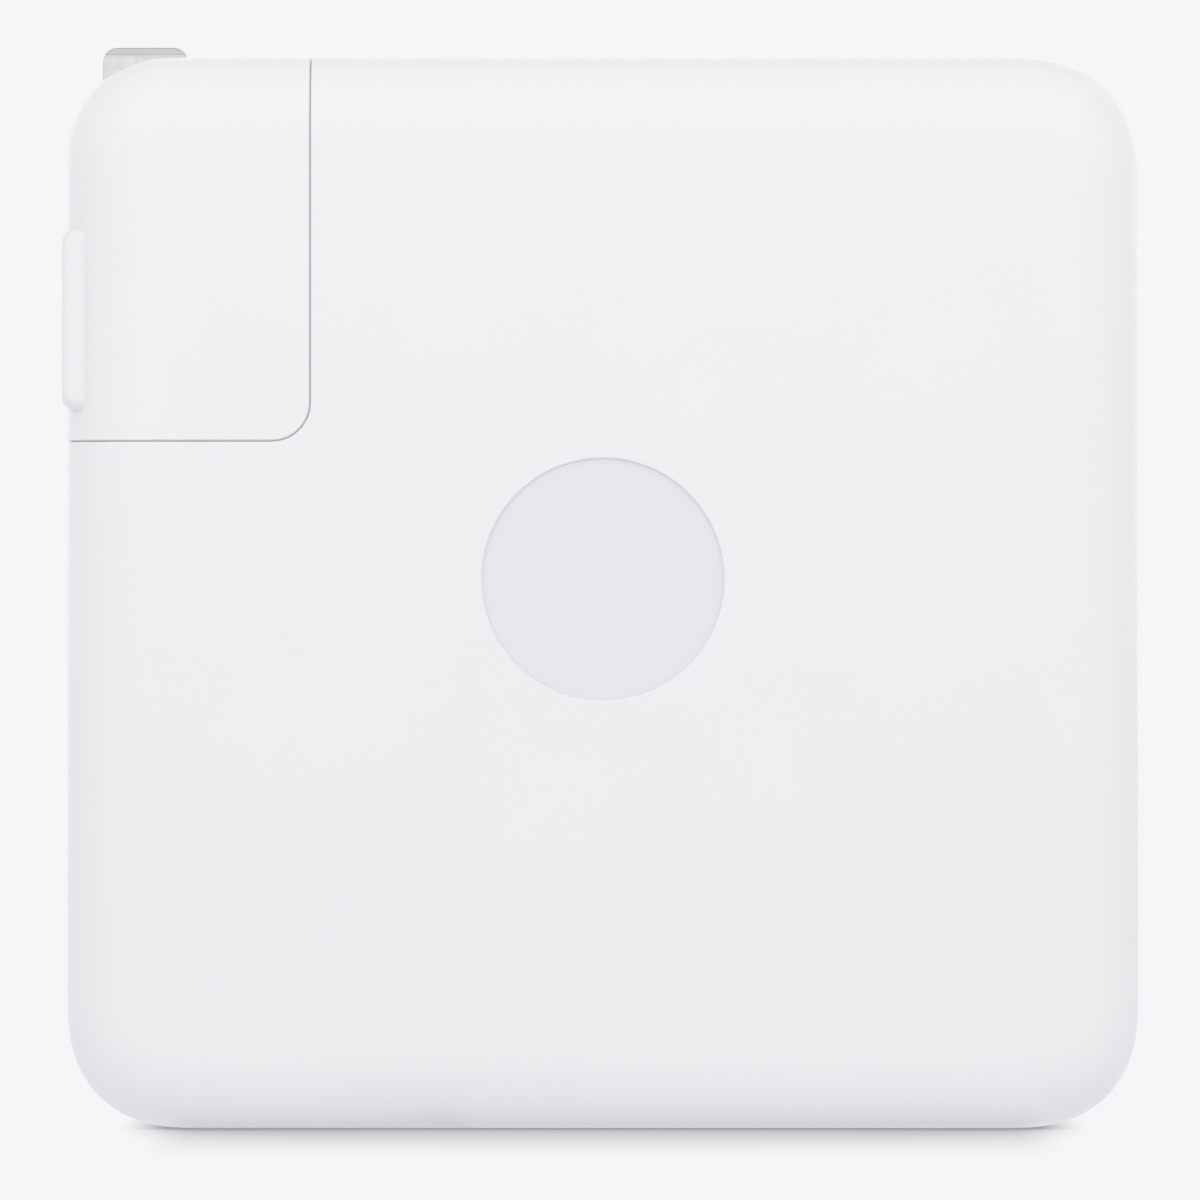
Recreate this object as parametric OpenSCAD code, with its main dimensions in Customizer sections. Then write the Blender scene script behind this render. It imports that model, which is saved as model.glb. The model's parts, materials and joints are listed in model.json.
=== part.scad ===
// Laptop power adapter with a lift-off corner plug and folding flat blades.
// The adapter stands on its lower side: X runs left to right, Y from the front face to the rear, Z up.
// The origin is the centre of the lower side.

/* [Housing] */
// Width of the housing, left to right
body_w = 80; // [78:0.5:96]
// Height of the housing as it stands
body_h = 80; // [78:0.5:96]
// Thickness of the housing, front to rear
body_t = 29; // [28.5:0.5:34]
// Wall thickness of the two shells
wall = 2.2; // [1.8:0.1:2.4]
// Corner radius of the housing outline
corner_r = 8.5; // [7:0.1:12]
// Radius of the soft edge between a face and the sides
edge_r = 6; // [4.5:0.1:6.8]
// Height of the welded lip that joins the shells
lip_h = 1.2; // [0.6:0.1:2]
// Clearance round the welded lip
lip_gap = 0.05; // [0.03:0.01:0.12]
// Diameter of the plain round recess in the front face
badge_d = 18; // [10:0.5:24]
// Depth of the round recess
badge_depth = 0.25; // [0.1:0.05:0.5]
// Height of the centre of the round recess above the lower side
badge_z = 41; // [38:0.5:46]

/* [Corner plug] */
// Width of the corner that the plug fills
plug_w = 18.25; // [17.6:0.05:20]
// Height of the corner that the plug fills
plug_h = 28.75; // [28:0.25:31]
// Gap between plug and housing
seam_gap = 0.13; // [0.1:0.01:0.3]
// Radius of the inner corner of the plug
notch_r = 2.9; // [2.4:0.1:4]
// Radius of the outer corner of the plug
plug_corner_r = 7.5; // [7:0.1:9]
// Wall thickness of the plug shell
plug_wall = 1.7; // [1.4:0.1:1.9]
// How far the wall pad stands out of the left side
pad_proud = 0.46; // [0.3:0.02:1]
// Height of the wall pad
pad_h = 13.3; // [11:0.1:15]
// Depth of the wall pad, front to rear
pad_w = 24.4; // [20:0.2:25]
// Height of the pad below the hinge axis
pad_drop = 4.6; // [4:0.05:6]
// Corner radius of the wall pad
pad_corner = 0.9; // [0.7:0.1:1.5]
// Edge radius of the wall pad
pad_edge = 0.6; // [0.3:0.1:0.9]

/* [Blades] */
// Width of a blade
blade_w = 6.35; // [6.1:0.05:6.6]
// Thickness of a blade
blade_t = 1.5; // [1.4:0.05:1.65]
// Centre distance of the two blades
blade_pitch = 12.7; // [12.5:0.1:12.9]
// Length of a folded-out blade in front of the wall pad
blade_len = 16.2; // [15.9:0.1:17]
// Depth at which a folded blade lies behind the left side
blade_inset = 2.6; // [2.2:0.1:3]
// How far the folded tips stand above the upper side
tip_proud = 0.78; // [0.4:0.02:1.2]
// Corner radius of a blade tip
tip_r = 1.1; // [0.5:0.1:1.5]
// Height of the bevel at a blade tip
tip_bevel = 0.8; // [0.4:0.1:1.5]
// Depth of the bevel at a blade tip, on each side
tip_bevel_depth = 0.35; // [0.2:0.05:0.5]
// Clearance round a blade in its slot
slot_gap = 0.25; // [0.2:0.01:0.4]
// Wall thickness of the troughs that the folded blades lie in
trough_wall = 0.9; // [0.6:0.1:1.2]
// Radius of the drum that carries the blades
drum_r = 3.9; // [3.7:0.05:4.1]
// Length of the drum
drum_l = 18.6; // [17:0.1:19]
// Radius of the drum's journals
journal_r = 1.5; // [1:0.1:2]
// Length of a journal
journal_l = 2.2; // [1.5:0.1:2.4]
// Running clearance of the journals, on the radius
journal_gap = 0.05; // [0.02:0.01:0.09]

/* [Stud and mains inlet] */
// Height of the locking stud above the floor of the corner
stud_up = 12.4; // [10:0.2:15]
// Radius of the stud's head
stud_head_r = 3.2; // [2.6:0.1:3.6]
// Thickness of the stud's head
stud_head_t = 1.3; // [0.9:0.1:1.6]
// Radius of the stud's neck
stud_neck_r = 1.7; // [1.3:0.1:2]
// Radius of the stud's shank in the housing wall
stud_shank_r = 2; // [1.8:0.1:2.5]
// Radius of the stud's inner flange
stud_flange_r = 4.5; // [3.5:0.1:5.5]
// Thickness of the stud's inner flange
stud_flange_t = 1.1; // [0.8:0.1:1.4]
// Thickness of the lip that the stud's head hooks behind
guide_lip = 1.5; // [1.2:0.1:1.8]
// Clearance of the stud in its guide
stud_gap = 0.15; // [0.1:0.01:0.25]
// Thickness of the spring clip behind the stud
clip_t = 0.3; // [0.2:0.05:0.4]
// Centre of the nose, measured from the left side
nose_in = 9.4; // [9.2:0.1:9.8]
// Centre distance of the two mains pins
pin_pitch = 8.6; // [8.4:0.1:9]
// Radius of a mains pin
pin_r = 1.2; // [1.1:0.05:1.25]
// Length of a mains pin inside the inlet
pin_l = 6.6; // [5:0.1:7]
// Running clearance between pin and sleeve, on the radius
sleeve_gap = 0.05; // [0.02:0.01:0.09]
// Wall thickness of a contact sleeve
sleeve_t = 0.4; // [0.3:0.05:0.5]
// Radius of the two lobes of the nose
nose_r = 3.5; // [3.2:0.1:3.6]
// Width of the waist between the lobes
nose_waist = 4.8; // [4:0.1:5.4]
// Length of the nose below the plug
nose_l = 7.5; // [6.8:0.1:8]
// Clearance between nose and inlet
nose_gap = 0.2; // [0.1:0.05:0.3]
// Wall thickness of the inlet
inlet_wall = 1; // [0.8:0.1:1.2]
// Thickness of the inlet's base
inlet_base = 2.6; // [2:0.1:3]

/* [USB-C port] */
// Outer width of the port's steel shell
port_w = 8.94; // [8.9:0.02:9.1]
// Outer thickness of the port's steel shell
port_t = 3.16; // [3.1:0.02:3.3]
// Sheet thickness of the steel shell
port_sheet = 0.3; // [0.2:0.05:0.35]
// Length of the steel shell
port_l = 7.8; // [7:0.1:9]
// How far the steel shell sits back from the right side
port_recess = 0.35; // [0.1:0.05:0.8]
// Clearance of the steel shell in the housing
port_gap = 0.08; // [0.04:0.01:0.15]
// Width of the tongue
tongue_w = 6.69; // [6.4:0.05:6.8]
// Thickness of the tongue
tongue_t = 0.7; // [0.6:0.05:0.8]
// How far the tongue sits back from the steel shell's mouth
tongue_back = 0.8; // [0.5:0.1:1.2]
// Number of contacts on each side of the tongue
contact_count = 12; // [4:1:12]
// Centre distance of the contacts
contact_pitch = 0.5; // [0.4:0.05:0.5]
// Width of a contact
contact_w = 0.25; // [0.2:0.01:0.3]
// Thickness of a contact
contact_t = 0.06; // [0.04:0.01:0.1]
// Height of the port board
port_board_h = 18; // [14:0.5:20]
// Depth of the port board behind the steel shell's mouth
port_board_l = 15; // [12:0.5:17]
// Thickness of the port board
port_board_t = 1; // [0.8:0.1:1.2]
// Radius of the pins that carry the port board
post_r = 0.5; // [0.3:0.05:0.7]
// Distance of the pins from the edges of the port board
post_in = 2; // [1:0.1:3]
// Distance between neighbouring pins
post_step = 4; // [2:0.1:5]

/* [Circuit] */
// Thickness of the insulating sheets
sheet_t = 0.4; // [0.2:0.1:0.6]
// Thickness of the heat spreaders
spreader_t = 0.8; // [0.5:0.1:1]
// Thickness of the thermal pads behind the main board
rear_pad_t = 1.5; // [1:0.1:2]
// Thickness of the main board
board_t = 1.6; // [1.2:0.1:2]
// Gap between the main board and the housing wall
board_gap = 0.8; // [0.4:0.1:1.2]
// Gap between neighbouring parts on the main board
part_gap = 1.2; // [0.8:0.1:1.5]
// Diameter of a bulk capacitor
bulk_d = 14; // [10:0.5:15]
// Length of a bulk capacitor
bulk_l = 30; // [20:0.5:31]
// Outer diameter of the line choke's core
choke_d = 14; // [10:0.5:15]
// Bore of the line choke's core
choke_bore = 7; // [5:0.5:8]
// Thickness of the line choke's core
choke_t = 7; // [5:0.5:9]
// Thickness of the line choke's windings
winding_t = 1; // [0.6:0.1:1.4]
// Width of the line filter capacitor
film_w = 5.5; // [4:0.5:6]
// Length of the line filter capacitor
film_l = 13; // [10:0.5:15]
// Height of the line filter capacitor
film_h = 12; // [8:0.5:15]
// Width of the transformer
xfmr_w = 24; // [18:0.5:25]
// Length of the transformer
xfmr_l = 21; // [16:0.5:22]
// Height of the transformer
xfmr_h = 16; // [10:0.5:17.5]
// Thickness of the transformer's ferrite
ferrite_t = 3.2; // [2.5:0.1:4]
// Side of the boost inductor
boost_w = 15; // [11:0.5:16]
// Height of the boost inductor
boost_h = 13; // [9:0.5:16]
// Width of the bridge rectifier
bridge_w = 15; // [12:0.5:16]
// Thickness of the bridge rectifier
bridge_t = 3.6; // [3:0.1:4]
// Height of the bridge rectifier
bridge_h = 11; // [8:0.5:13]
// Side of the fuse
fuse_w = 4.2; // [3.5:0.1:5]
// Length of the fuse
fuse_l = 8.5; // [6:0.5:9]
// Height of the fuse
fuse_h = 7.5; // [6:0.5:9]
// Diameter of the safety capacitor's disc
disc_d = 7; // [5:0.5:8]
// Thickness of the safety capacitor's disc
disc_t = 3.5; // [2.5:0.5:4]
// Diameter of an output capacitor
out_cap_d = 6.6; // [5:0.1:7]
// Height of an output capacitor
out_cap_h = 11; // [8:0.5:14]
// Side of the output inductor
out_coil_w = 9; // [7:0.5:10]
// Height of the output inductor
out_coil_h = 7; // [4:0.5:9]
// Side of a power transistor
transistor_w = 6.2; // [5:0.1:6.6]
// Thickness of a power transistor
transistor_t = 2.3; // [1.8:0.1:2.6]
// Side of a control chip
chip_w = 4.4; // [3:0.1:5]
// Thickness of a control chip
chip_t = 1.5; // [1:0.1:2]
// Length of the optocoupler
opto_l = 6.5; // [5:0.5:7.5]
// Width of the optocoupler
opto_w = 4.2; // [3.5:0.1:4.8]
// Height of the optocoupler
opto_h = 3.8; // [3:0.1:4.5]

/* [Hidden] */
$fn = 96;

// Colours of the materials
white_plastic = [0.93, 0.93, 0.94];
inner_plastic = [0.88, 0.88, 0.86];
nickel = [0.78, 0.77, 0.75];
brass = [0.80, 0.65, 0.32];
steel = [0.70, 0.71, 0.73];
aluminium = [0.80, 0.81, 0.83];
ferrite = [0.22, 0.22, 0.24];
black_resin = [0.12, 0.12, 0.13];
copper = [0.75, 0.45, 0.25];
board_green = [0.10, 0.32, 0.20];
tape_yellow = [0.90, 0.76, 0.25];
pad_grey = [0.55, 0.58, 0.60];

// A length that reaches past every face, for cuts
far = 2 * (body_w + body_h + body_t);
// Clearance of a pressed or moulded-in piece
press_gap = 0.02;
// Clearance between pieces that are only pushed together
fit_gap = 0.05;
// How far a cut runs past the face that it goes through
past = 1;

// Planes of the corner that the plug fills
left_x = -body_w / 2;
notch_x = left_x + plug_w;
notch_z = body_h - plug_h;
plug_right_x = notch_x - seam_gap;
plug_floor_z = notch_z + seam_gap;

// Hinge axis of the blades
hinge_in = blade_inset + blade_w / 2;
hinge_x = left_x + hinge_in;
blade_reach = blade_len + pad_proud + hinge_in;
hinge_z = body_h + tip_proud - blade_reach;

// Stack of sheets behind and in front of the main board
inner_y = body_t / 2 - wall;
rear_spreader_y = inner_y - sheet_t - spreader_t;
board_rear_y = rear_spreader_y - rear_pad_t;
board_y = board_rear_y - board_t;
front_spreader_y = -inner_y + sheet_t + spreader_t;
room_h = board_y - front_spreader_y;
sheet_gap = 0.3;
sheet_inset = edge_r + sheet_gap;

// Edges of the main board
board_inset = wall + board_gap;
board_left = left_x + board_inset;
board_bottom = board_inset;
board_right = -board_left;
board_top = body_h - board_inset;
board_notch_x = notch_x + board_inset;

// Mains inlet under the floor of the corner
well_gap = 0.6;
inlet_side = 0.6;
lead_t = 1;
lead_drop = 2.4;
pin_tip = 0.5;
nose_x = left_x + nose_in;
nose_tip_z = plug_floor_z - nose_l;
well_floor_z = nose_tip_z - well_gap;
inlet_bottom_z = well_floor_z - inlet_base;
inlet_lobe_r = nose_r + nose_gap + inlet_wall;
inlet_half_x = inlet_lobe_r + inlet_side;
inlet_half_y = pin_pitch / 2 + inlet_lobe_r;
lead_z = inlet_bottom_z - lead_drop;
lead_jog = pin_r + 1.6 * lead_t;
board_step_z = lead_z + 2 * lead_t;

// Locking stud and its guide
stud_z = notch_z + stud_up;
stud_neck_l = seam_gap + guide_lip + stud_gap;
channel_t = stud_head_t + 2 * stud_gap + clip_t;
guide_wall = 0.8;
guide_side = 2;
guide_end = 2.4;
guide_t = guide_lip + channel_t + guide_wall;
guide_half_w = stud_head_r + stud_gap + guide_side;
guide_top_z = stud_z + stud_head_r + guide_end;
guide_back_x = plug_right_x - guide_t;
channel_x = plug_right_x - guide_lip - channel_t;
strap_w = 5;
strap_t = 0.5;
strap_x = notch_x + wall + stud_flange_t;
strap_gap = 0.1;

// Plug internals
plug_inner_floor_z = plug_floor_z + plug_wall;
nose_flange_t = 0.8;
nose_flange = 0.7;
sleeve_in = 0.4;
spring_t = 0.4;
spring_w = 2.4;
spring_gap = 0.15;
spring_x = hinge_x + drum_r + spring_gap;
spring_rise = 2;
spring_foot = 2;
detent_t = 0.3;
detent_w = 6;
detent_gap = 0.1;
detent_x = hinge_x + drum_r + detent_gap;
detent_drop = 2;
detent_top_z = guide_top_z - 1;
flat_depth = 0.15;
bearing_gap = 0.2;
bearing_half = 4;
trough_gap = 0.4;
blade_root = 1;
tail_w = 2.4;
tail_in = 0.3;
tail_l = drum_r - tail_in;

// USB-C port, at the middle of the right side
port_z = body_h / 2;
port_mouth_x = body_w / 2 - port_recess;
port_board_y = port_t / 2;
port_board_x = port_mouth_x - port_board_l;
tongue_root_l = 1.9;
contact_l = 3.6;
contact_in = 0.4;

// Lower part of the main board: choke, two bulk capacitors one above the other, boost inductor
row_1_z = board_bottom + part_gap;
choke_full_d = choke_d + 2 * winding_t;
choke_x = board_left + part_gap + choke_full_d / 2;
choke_z = row_1_z + choke_full_d / 2;
bulk_x = choke_x + choke_full_d / 2 + part_gap;
bulk_step = bulk_d + part_gap;
boost_x = bulk_x + bulk_l + part_gap;
film_z = row_1_z + boost_w + part_gap;
low_pad_z = sheet_inset;

// Middle of the main board: transformer, with the transistors and chips to its right
upper_x = strap_x + strap_t + strap_gap + strap_t;
upper_z = row_1_z + 2 * bulk_step;
chip_x = upper_x + xfmr_w + part_gap;
chip_z = upper_z + transistor_w + part_gap;

// Top of the main board: parts that hang from its upper edge
top_z = board_top - part_gap;
fuse_z = top_z - fuse_w;
bridge_z = fuse_z - part_gap - bridge_t;
opto_x = upper_x + fuse_l + part_gap;
coil_x = opto_x + opto_l + part_gap;
disc_x = coil_x + out_coil_w + part_gap;
out_cap_x = board_right - part_gap - out_cap_d / 2;
out_cap_z = top_z - out_cap_d / 2;
out_cap_step = out_cap_d + part_gap / 2;

// ---------- Flat shapes ----------

module quarter_disc(r) {
    intersection() {
        circle(r);
        square(2 * r);
    }
}

// Rectangle with round corners, centred
module rounded_rect(w, h, r) {
    square([w - 2 * r, h], center = true);
    for (side = [-1, 1])
        translate([side * (w - r) / 2, 0])
            square([r, h - 2 * r], center = true);
    for (turn = [0 : 3])
        translate([(turn == 0 || turn == 3 ? 1 : -1) * (w / 2 - r), (turn < 2 ? 1 : -1) * (h / 2 - r)])
            rotate(90 * turn)
                quarter_disc(r);
}

// Slot with round ends, centred, long along X
module stadium(l, d) {
    square([l - d, d], center = true);
    for (turn = [0, 90, 180, 270])
        translate([(turn == 0 || turn == 270 ? 1 : -1) * (l - d) / 2, 0])
            rotate(turn)
                quarter_disc(d / 2);
}

// Two lobes and a waist, long along Y
module figure_eight(r, waist) {
    for (side = [-1, 1])
        translate([0, side * pin_pitch / 2])
            circle(r);
    square([waist, pin_pitch], center = true);
}

// The corner that the plug fills, seen from the front and grown by a margin
module corner_region(grow) {
    x_edge = notch_x + grow;
    z_edge = notch_z - grow;
    r = notch_r + grow;
    translate([x_edge - far, z_edge + r])
        square([far, far]);
    translate([x_edge - r - far, z_edge])
        square([far, r]);
    translate([x_edge - r, z_edge + r])
        rotate(-90)
            quarter_disc(r);
}

// Outline of the housing without its plug corner, seen from the front and drawn in by an inset
module housing_outline(inset) {
    difference() {
        translate([0, body_h / 2])
            rounded_rect(body_w - 2 * inset, body_h - 2 * inset, corner_r - inset);
        corner_region(inset);
    }
}

// ---------- Solid helpers ----------

// Extrudes a front view from one depth to another
module slab(y_front, y_rear) {
    translate([0, y_rear, 0])
        rotate([90, 0, 0])
            linear_extrude(y_rear - y_front)
                children();
}

// Extrudes a view from the right side, long along Z, from one width to another
module bar_x(x_left, x_right) {
    translate([x_left, 0, 0])
        rotate([0, 90, 0])
            linear_extrude(x_right - x_left)
                children();
}

// Places a part on the front of the main board, its height towards the front
module on_board(x, z) {
    translate([x, board_y, z])
        rotate([90, 0, 0])
            children();
}

// Half section through the edge of a plate, with its outer edge rounded
module edge_profile(reach, t, e) {
    translate([0, -t / 2])
        square([reach - e, t]);
    translate([reach - e, e - t / 2])
        square([e, t - 2 * e]);
    for (side = [-1, 1])
        translate([reach - e, side * (t / 2 - e)])
            rotate(side > 0 ? 0 : -90)
                quarter_disc(e);
}

// Plate standing in the XZ plane with round corners and soft edges, centred
module soft_plate(w, h, t, c, e) {
    rotate([90, 0, 0]) {
        cube([w - 2 * c, h - 2 * c, t], center = true);
        for (turn = [0 : 3]) {
            across = turn % 2 == 0 ? w : h;
            along = turn % 2 == 0 ? h : w;
            rotate([0, 0, 90 * turn]) {
                translate([across / 2 - c, 0, 0])
                    rotate([90, 0, 0])
                        linear_extrude(along - 2 * c, center = true)
                            edge_profile(c, t, e);
                translate([across / 2 - c, along / 2 - c, 0])
                    rotate_extrude(angle = 90)
                        edge_profile(c, t, e);
            }
        }
    }
}

// Soft block of the whole adapter, drawn in by an inset
module body_block(inset, corner) {
    size = [body_w, body_h, body_t] - 2 * inset * [1, 1, 1];
    translate([0, 0, body_h / 2])
        soft_plate(size.x, size.y, size.z, corner - inset, edge_r - inset);
}

module housing_block(inset) {
    difference() {
        body_block(inset, corner_r);
        slab(-far, far)
            corner_region(inset);
    }
}

module plug_block(inset) {
    intersection() {
        body_block(inset, plug_corner_r);
        slab(-far, far)
            corner_region(-seam_gap - inset);
    }
}

// ---------- Shells ----------

module port_cut() {
    translate([0, 0, port_z])
        bar_x(body_w / 2 - wall - past, far)
            stadium(port_w + 2 * port_gap, port_t + 2 * port_gap);
}

module inlet_cut() {
    translate([nose_x, 0, notch_z - wall - past])
        linear_extrude(wall + 2 * past)
            figure_eight(inlet_lobe_r + fit_gap, nose_waist + 2 * (inlet_wall + fit_gap));
}

module stud_cut() {
    translate([notch_x - past, 0, stud_z])
        rotate([0, 90, 0])
            cylinder(r = stud_shank_r + fit_gap, h = wall + 2 * past);
}

module wall_openings() {
    port_cut();
    inlet_cut();
    stud_cut();
}

module front_shell() {
    color(white_plastic)
        difference() {
            union() {
                difference() {
                    housing_block(0);
                    housing_block(wall);
                    translate([-far / 2, 0, -far / 2])
                        cube(far);
                }
                intersection() {
                    difference() {
                        housing_block(wall / 2 + lip_gap);
                        housing_block(wall);
                    }
                    translate([-far / 2, 0, -far / 2])
                        cube([far, lip_h, far]);
                }
            }
            wall_openings();
            translate([0, badge_depth - body_t / 2, badge_z])
                rotate([90, 0, 0])
                    cylinder(d = badge_d, h = body_t);
        }
}

module rear_shell() {
    color(white_plastic)
        difference() {
            housing_block(0);
            housing_block(wall);
            translate([-far / 2, -far, -far / 2])
                cube(far);
            intersection() {
                housing_block(wall / 2);
                translate([-far / 2, -past, -far / 2])
                    cube([far, past + lip_h + lip_gap, far]);
            }
            wall_openings();
        }
}

// ---------- Sheets and boards ----------

module front_insulator() {
    color(black_resin)
        slab(-inner_y, sheet_t - inner_y)
            housing_outline(sheet_inset);
}

module rear_insulator() {
    color(black_resin)
        slab(inner_y - sheet_t, inner_y)
            housing_outline(sheet_inset);
}

module front_heat_spreader() {
    color(aluminium)
        slab(front_spreader_y - spreader_t, front_spreader_y)
            housing_outline(sheet_inset);
}

module rear_heat_spreader() {
    color(aluminium)
        slab(rear_spreader_y, rear_spreader_y + spreader_t)
            housing_outline(sheet_inset);
}

module front_thermal_pads() {
    color(pad_grey) {
        translate([upper_x, front_spreader_y, upper_z])
            cube([xfmr_w, room_h - xfmr_h, xfmr_l]);
        translate([boost_x, front_spreader_y, low_pad_z])
            cube([boost_w, room_h - boost_h, row_1_z + boost_w - low_pad_z]);
    }
}

module rear_thermal_pads() {
    color(pad_grey) {
        translate([upper_x, board_rear_y, upper_z])
            cube([xfmr_w, rear_pad_t, xfmr_l]);
        translate([bulk_x, board_rear_y, low_pad_z])
            cube([bulk_l, rear_pad_t, row_1_z + bulk_step + bulk_d - part_gap - low_pad_z]);
        translate([boost_x, board_rear_y, low_pad_z])
            cube([boost_w, rear_pad_t, row_1_z + boost_w - low_pad_z]);
    }
}

module main_board() {
    color(board_green)
        slab(board_y, board_rear_y)
            difference() {
                housing_outline(board_inset);
                translate([board_notch_x - far, board_step_z])
                    square(far);
            }
}

// ---------- Parts on the main board ----------

module bulk_capacitors() {
    color(black_resin)
        for (i = [0, 1])
            translate([bulk_x, board_y - bulk_d / 2, row_1_z + bulk_d / 2 + i * bulk_step])
                rotate([0, 90, 0])
                    cylinder(d = bulk_d, h = bulk_l);
}

module choke_ring(outer_d, bore_d, t) {
    difference() {
        cylinder(d = outer_d, h = t);
        translate([0, 0, -past])
            cylinder(d = bore_d, h = t + 2 * past);
    }
}

module choke_core() {
    color(ferrite)
        on_board(choke_x, choke_z)
            translate([0, 0, winding_t])
                choke_ring(choke_d, choke_bore, choke_t);
}

// Two windings on opposite sides of the ring, each cut back to clear the other
module choke_windings() {
    color(copper)
        on_board(choke_x, choke_z)
            difference() {
                choke_ring(choke_full_d, choke_bore - 2 * winding_t, choke_t + 2 * winding_t);
                translate([0, 0, winding_t])
                    choke_ring(choke_d, choke_bore, choke_t);
                cube([far, choke_d / 4, far], center = true);
            }
}

module line_capacitor() {
    color(tape_yellow)
        on_board(boost_x, film_z)
            cube([film_l, film_w, film_h]);
}

// Ferrite frame round the winding, open on two sides
module transformer_core() {
    color(ferrite)
        on_board(upper_x, upper_z)
            difference() {
                cube([xfmr_w, xfmr_l, xfmr_h]);
                translate([ferrite_t, -past, ferrite_t])
                    cube([xfmr_w - 2 * ferrite_t, xfmr_l + 2 * past, xfmr_h - 2 * ferrite_t]);
            }
}

module transformer_winding() {
    inset = [ferrite_t + press_gap, press_gap, ferrite_t + press_gap];
    color(tape_yellow)
        on_board(upper_x, upper_z)
            translate(inset)
                cube([xfmr_w, xfmr_l, xfmr_h] - 2 * inset);
}

module boost_inductor() {
    color(ferrite)
        on_board(boost_x, row_1_z)
            cube([boost_w, boost_w, boost_h]);
}

module bridge_rectifier() {
    color(black_resin)
        on_board(upper_x, bridge_z)
            cube([bridge_w, bridge_t, bridge_h]);
}

module fuse() {
    color(brass)
        on_board(upper_x, fuse_z)
            cube([fuse_l, fuse_w, fuse_h]);
}

module safety_capacitor() {
    color("steelblue")
        on_board(disc_x, top_z - disc_d / 2)
            translate([0, 0, disc_d / 2])
                rotate([0, 90, 0])
                    cylinder(d = disc_d, h = disc_t);
}

module power_transistors() {
    color(black_resin)
        for (i = [0, 1])
            on_board(chip_x + i * (transistor_w + part_gap), upper_z)
                cube([transistor_w, transistor_w, transistor_t]);
}

module control_chips() {
    color(black_resin)
        for (i = [0 : 2])
            on_board(chip_x + i * (chip_w + part_gap), chip_z)
                cube([chip_w, chip_w, chip_t]);
}

module optocoupler() {
    color(white_plastic)
        on_board(opto_x, top_z - opto_w)
            cube([opto_l, opto_w, opto_h]);
}

module output_capacitors() {
    color(aluminium)
        for (i = [0 : 2])
            on_board(out_cap_x, out_cap_z - i * out_cap_step)
                cylinder(d = out_cap_d, h = out_cap_h);
}

module output_inductor() {
    color(ferrite)
        on_board(coil_x, top_z - out_coil_w)
            cube([out_coil_w, out_coil_w, out_coil_h]);
}

// ---------- USB-C port ----------

module port_board() {
    color(board_green)
        translate([port_board_x, port_board_y, port_z - port_board_h / 2])
            cube([body_w / 2 - wall - board_gap - port_board_x, port_board_t, port_board_h]);
}

module port_board_pins() {
    color(brass)
        for (side = [-1, 1], i = [0, 1])
            on_board(port_board_x + post_in + i * post_step, port_z + side * (port_board_h / 2 - post_in))
                cylinder(r = post_r, h = board_y - port_board_y - port_board_t);
}

module port_shell() {
    color(steel)
        translate([0, 0, port_z])
            difference() {
                bar_x(port_mouth_x - port_l, port_mouth_x)
                    stadium(port_w, port_t);
                bar_x(port_mouth_x - port_l - past, port_mouth_x + past)
                    stadium(port_w - 2 * port_sheet, port_t - 2 * port_sheet);
            }
}

module port_tongue() {
    color(black_resin)
        translate([0, 0, port_z]) {
            bar_x(port_mouth_x - port_l, port_mouth_x - port_l + tongue_root_l)
                stadium(port_w - 2 * (port_sheet + press_gap), port_t - 2 * (port_sheet + press_gap));
            bar_x(port_mouth_x - port_l + tongue_root_l, port_mouth_x - tongue_back)
                square([tongue_w, tongue_t], center = true);
        }
}

module port_contacts() {
    color(brass)
        for (side = [-1, 1], i = [0 : contact_count - 1])
            translate([
                port_mouth_x - tongue_back - contact_in - contact_l,
                side * (tongue_t + contact_t) / 2,
                port_z + (i - (contact_count - 1) / 2) * contact_pitch
            ])
                translate([0, -contact_t / 2, -contact_w / 2])
                    cube([contact_l, contact_t, contact_w]);
}

// ---------- Mains inlet and stud ----------

module mains_inlet() {
    color(black_resin)
        difference() {
            union() {
                translate([nose_x - inlet_half_x, -inlet_half_y, inlet_bottom_z])
                    cube([2 * inlet_half_x, 2 * inlet_half_y, notch_z - wall - inlet_bottom_z]);
                translate([nose_x, 0, notch_z - wall])
                    linear_extrude(wall)
                        figure_eight(inlet_lobe_r, nose_waist + 2 * inlet_wall);
            }
            translate([nose_x, 0, well_floor_z])
                linear_extrude(far)
                    figure_eight(nose_r + nose_gap, nose_waist + 2 * nose_gap);
            for (side = [-1, 1])
                translate([nose_x, side * pin_pitch / 2, inlet_bottom_z - past])
                    cylinder(r = pin_r + press_gap, h = inlet_base + 2 * past);
        }
}

module mains_pins() {
    shank_l = well_floor_z + pin_l - pin_tip - lead_z;
    color(nickel)
        for (side = [-1, 1])
            translate([nose_x, side * pin_pitch / 2, lead_z]) {
                cylinder(r = pin_r, h = shank_l);
                translate([0, 0, shank_l])
                    cylinder(r1 = pin_r, r2 = pin_r - pin_tip, h = pin_tip);
            }
}

// Strips from the ends of the pins to the front of the main board
module mains_leads() {
    foot_z = lead_z - lead_t;
    color(brass) {
        translate([nose_x - lead_t / 2, pin_pitch / 2 - lead_t / 2, foot_z])
            cube([lead_t, board_y - pin_pitch / 2 + lead_t / 2, lead_t]);
        translate([nose_x - lead_t / 2, -pin_pitch / 2 - lead_t / 2, foot_z])
            cube([lead_jog + lead_t, lead_t, lead_t]);
        translate([nose_x - lead_t / 2 + lead_jog, -pin_pitch / 2 - lead_t / 2, foot_z])
            cube([lead_t, board_y + pin_pitch / 2 + lead_t / 2, lead_t]);
    }
}

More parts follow.
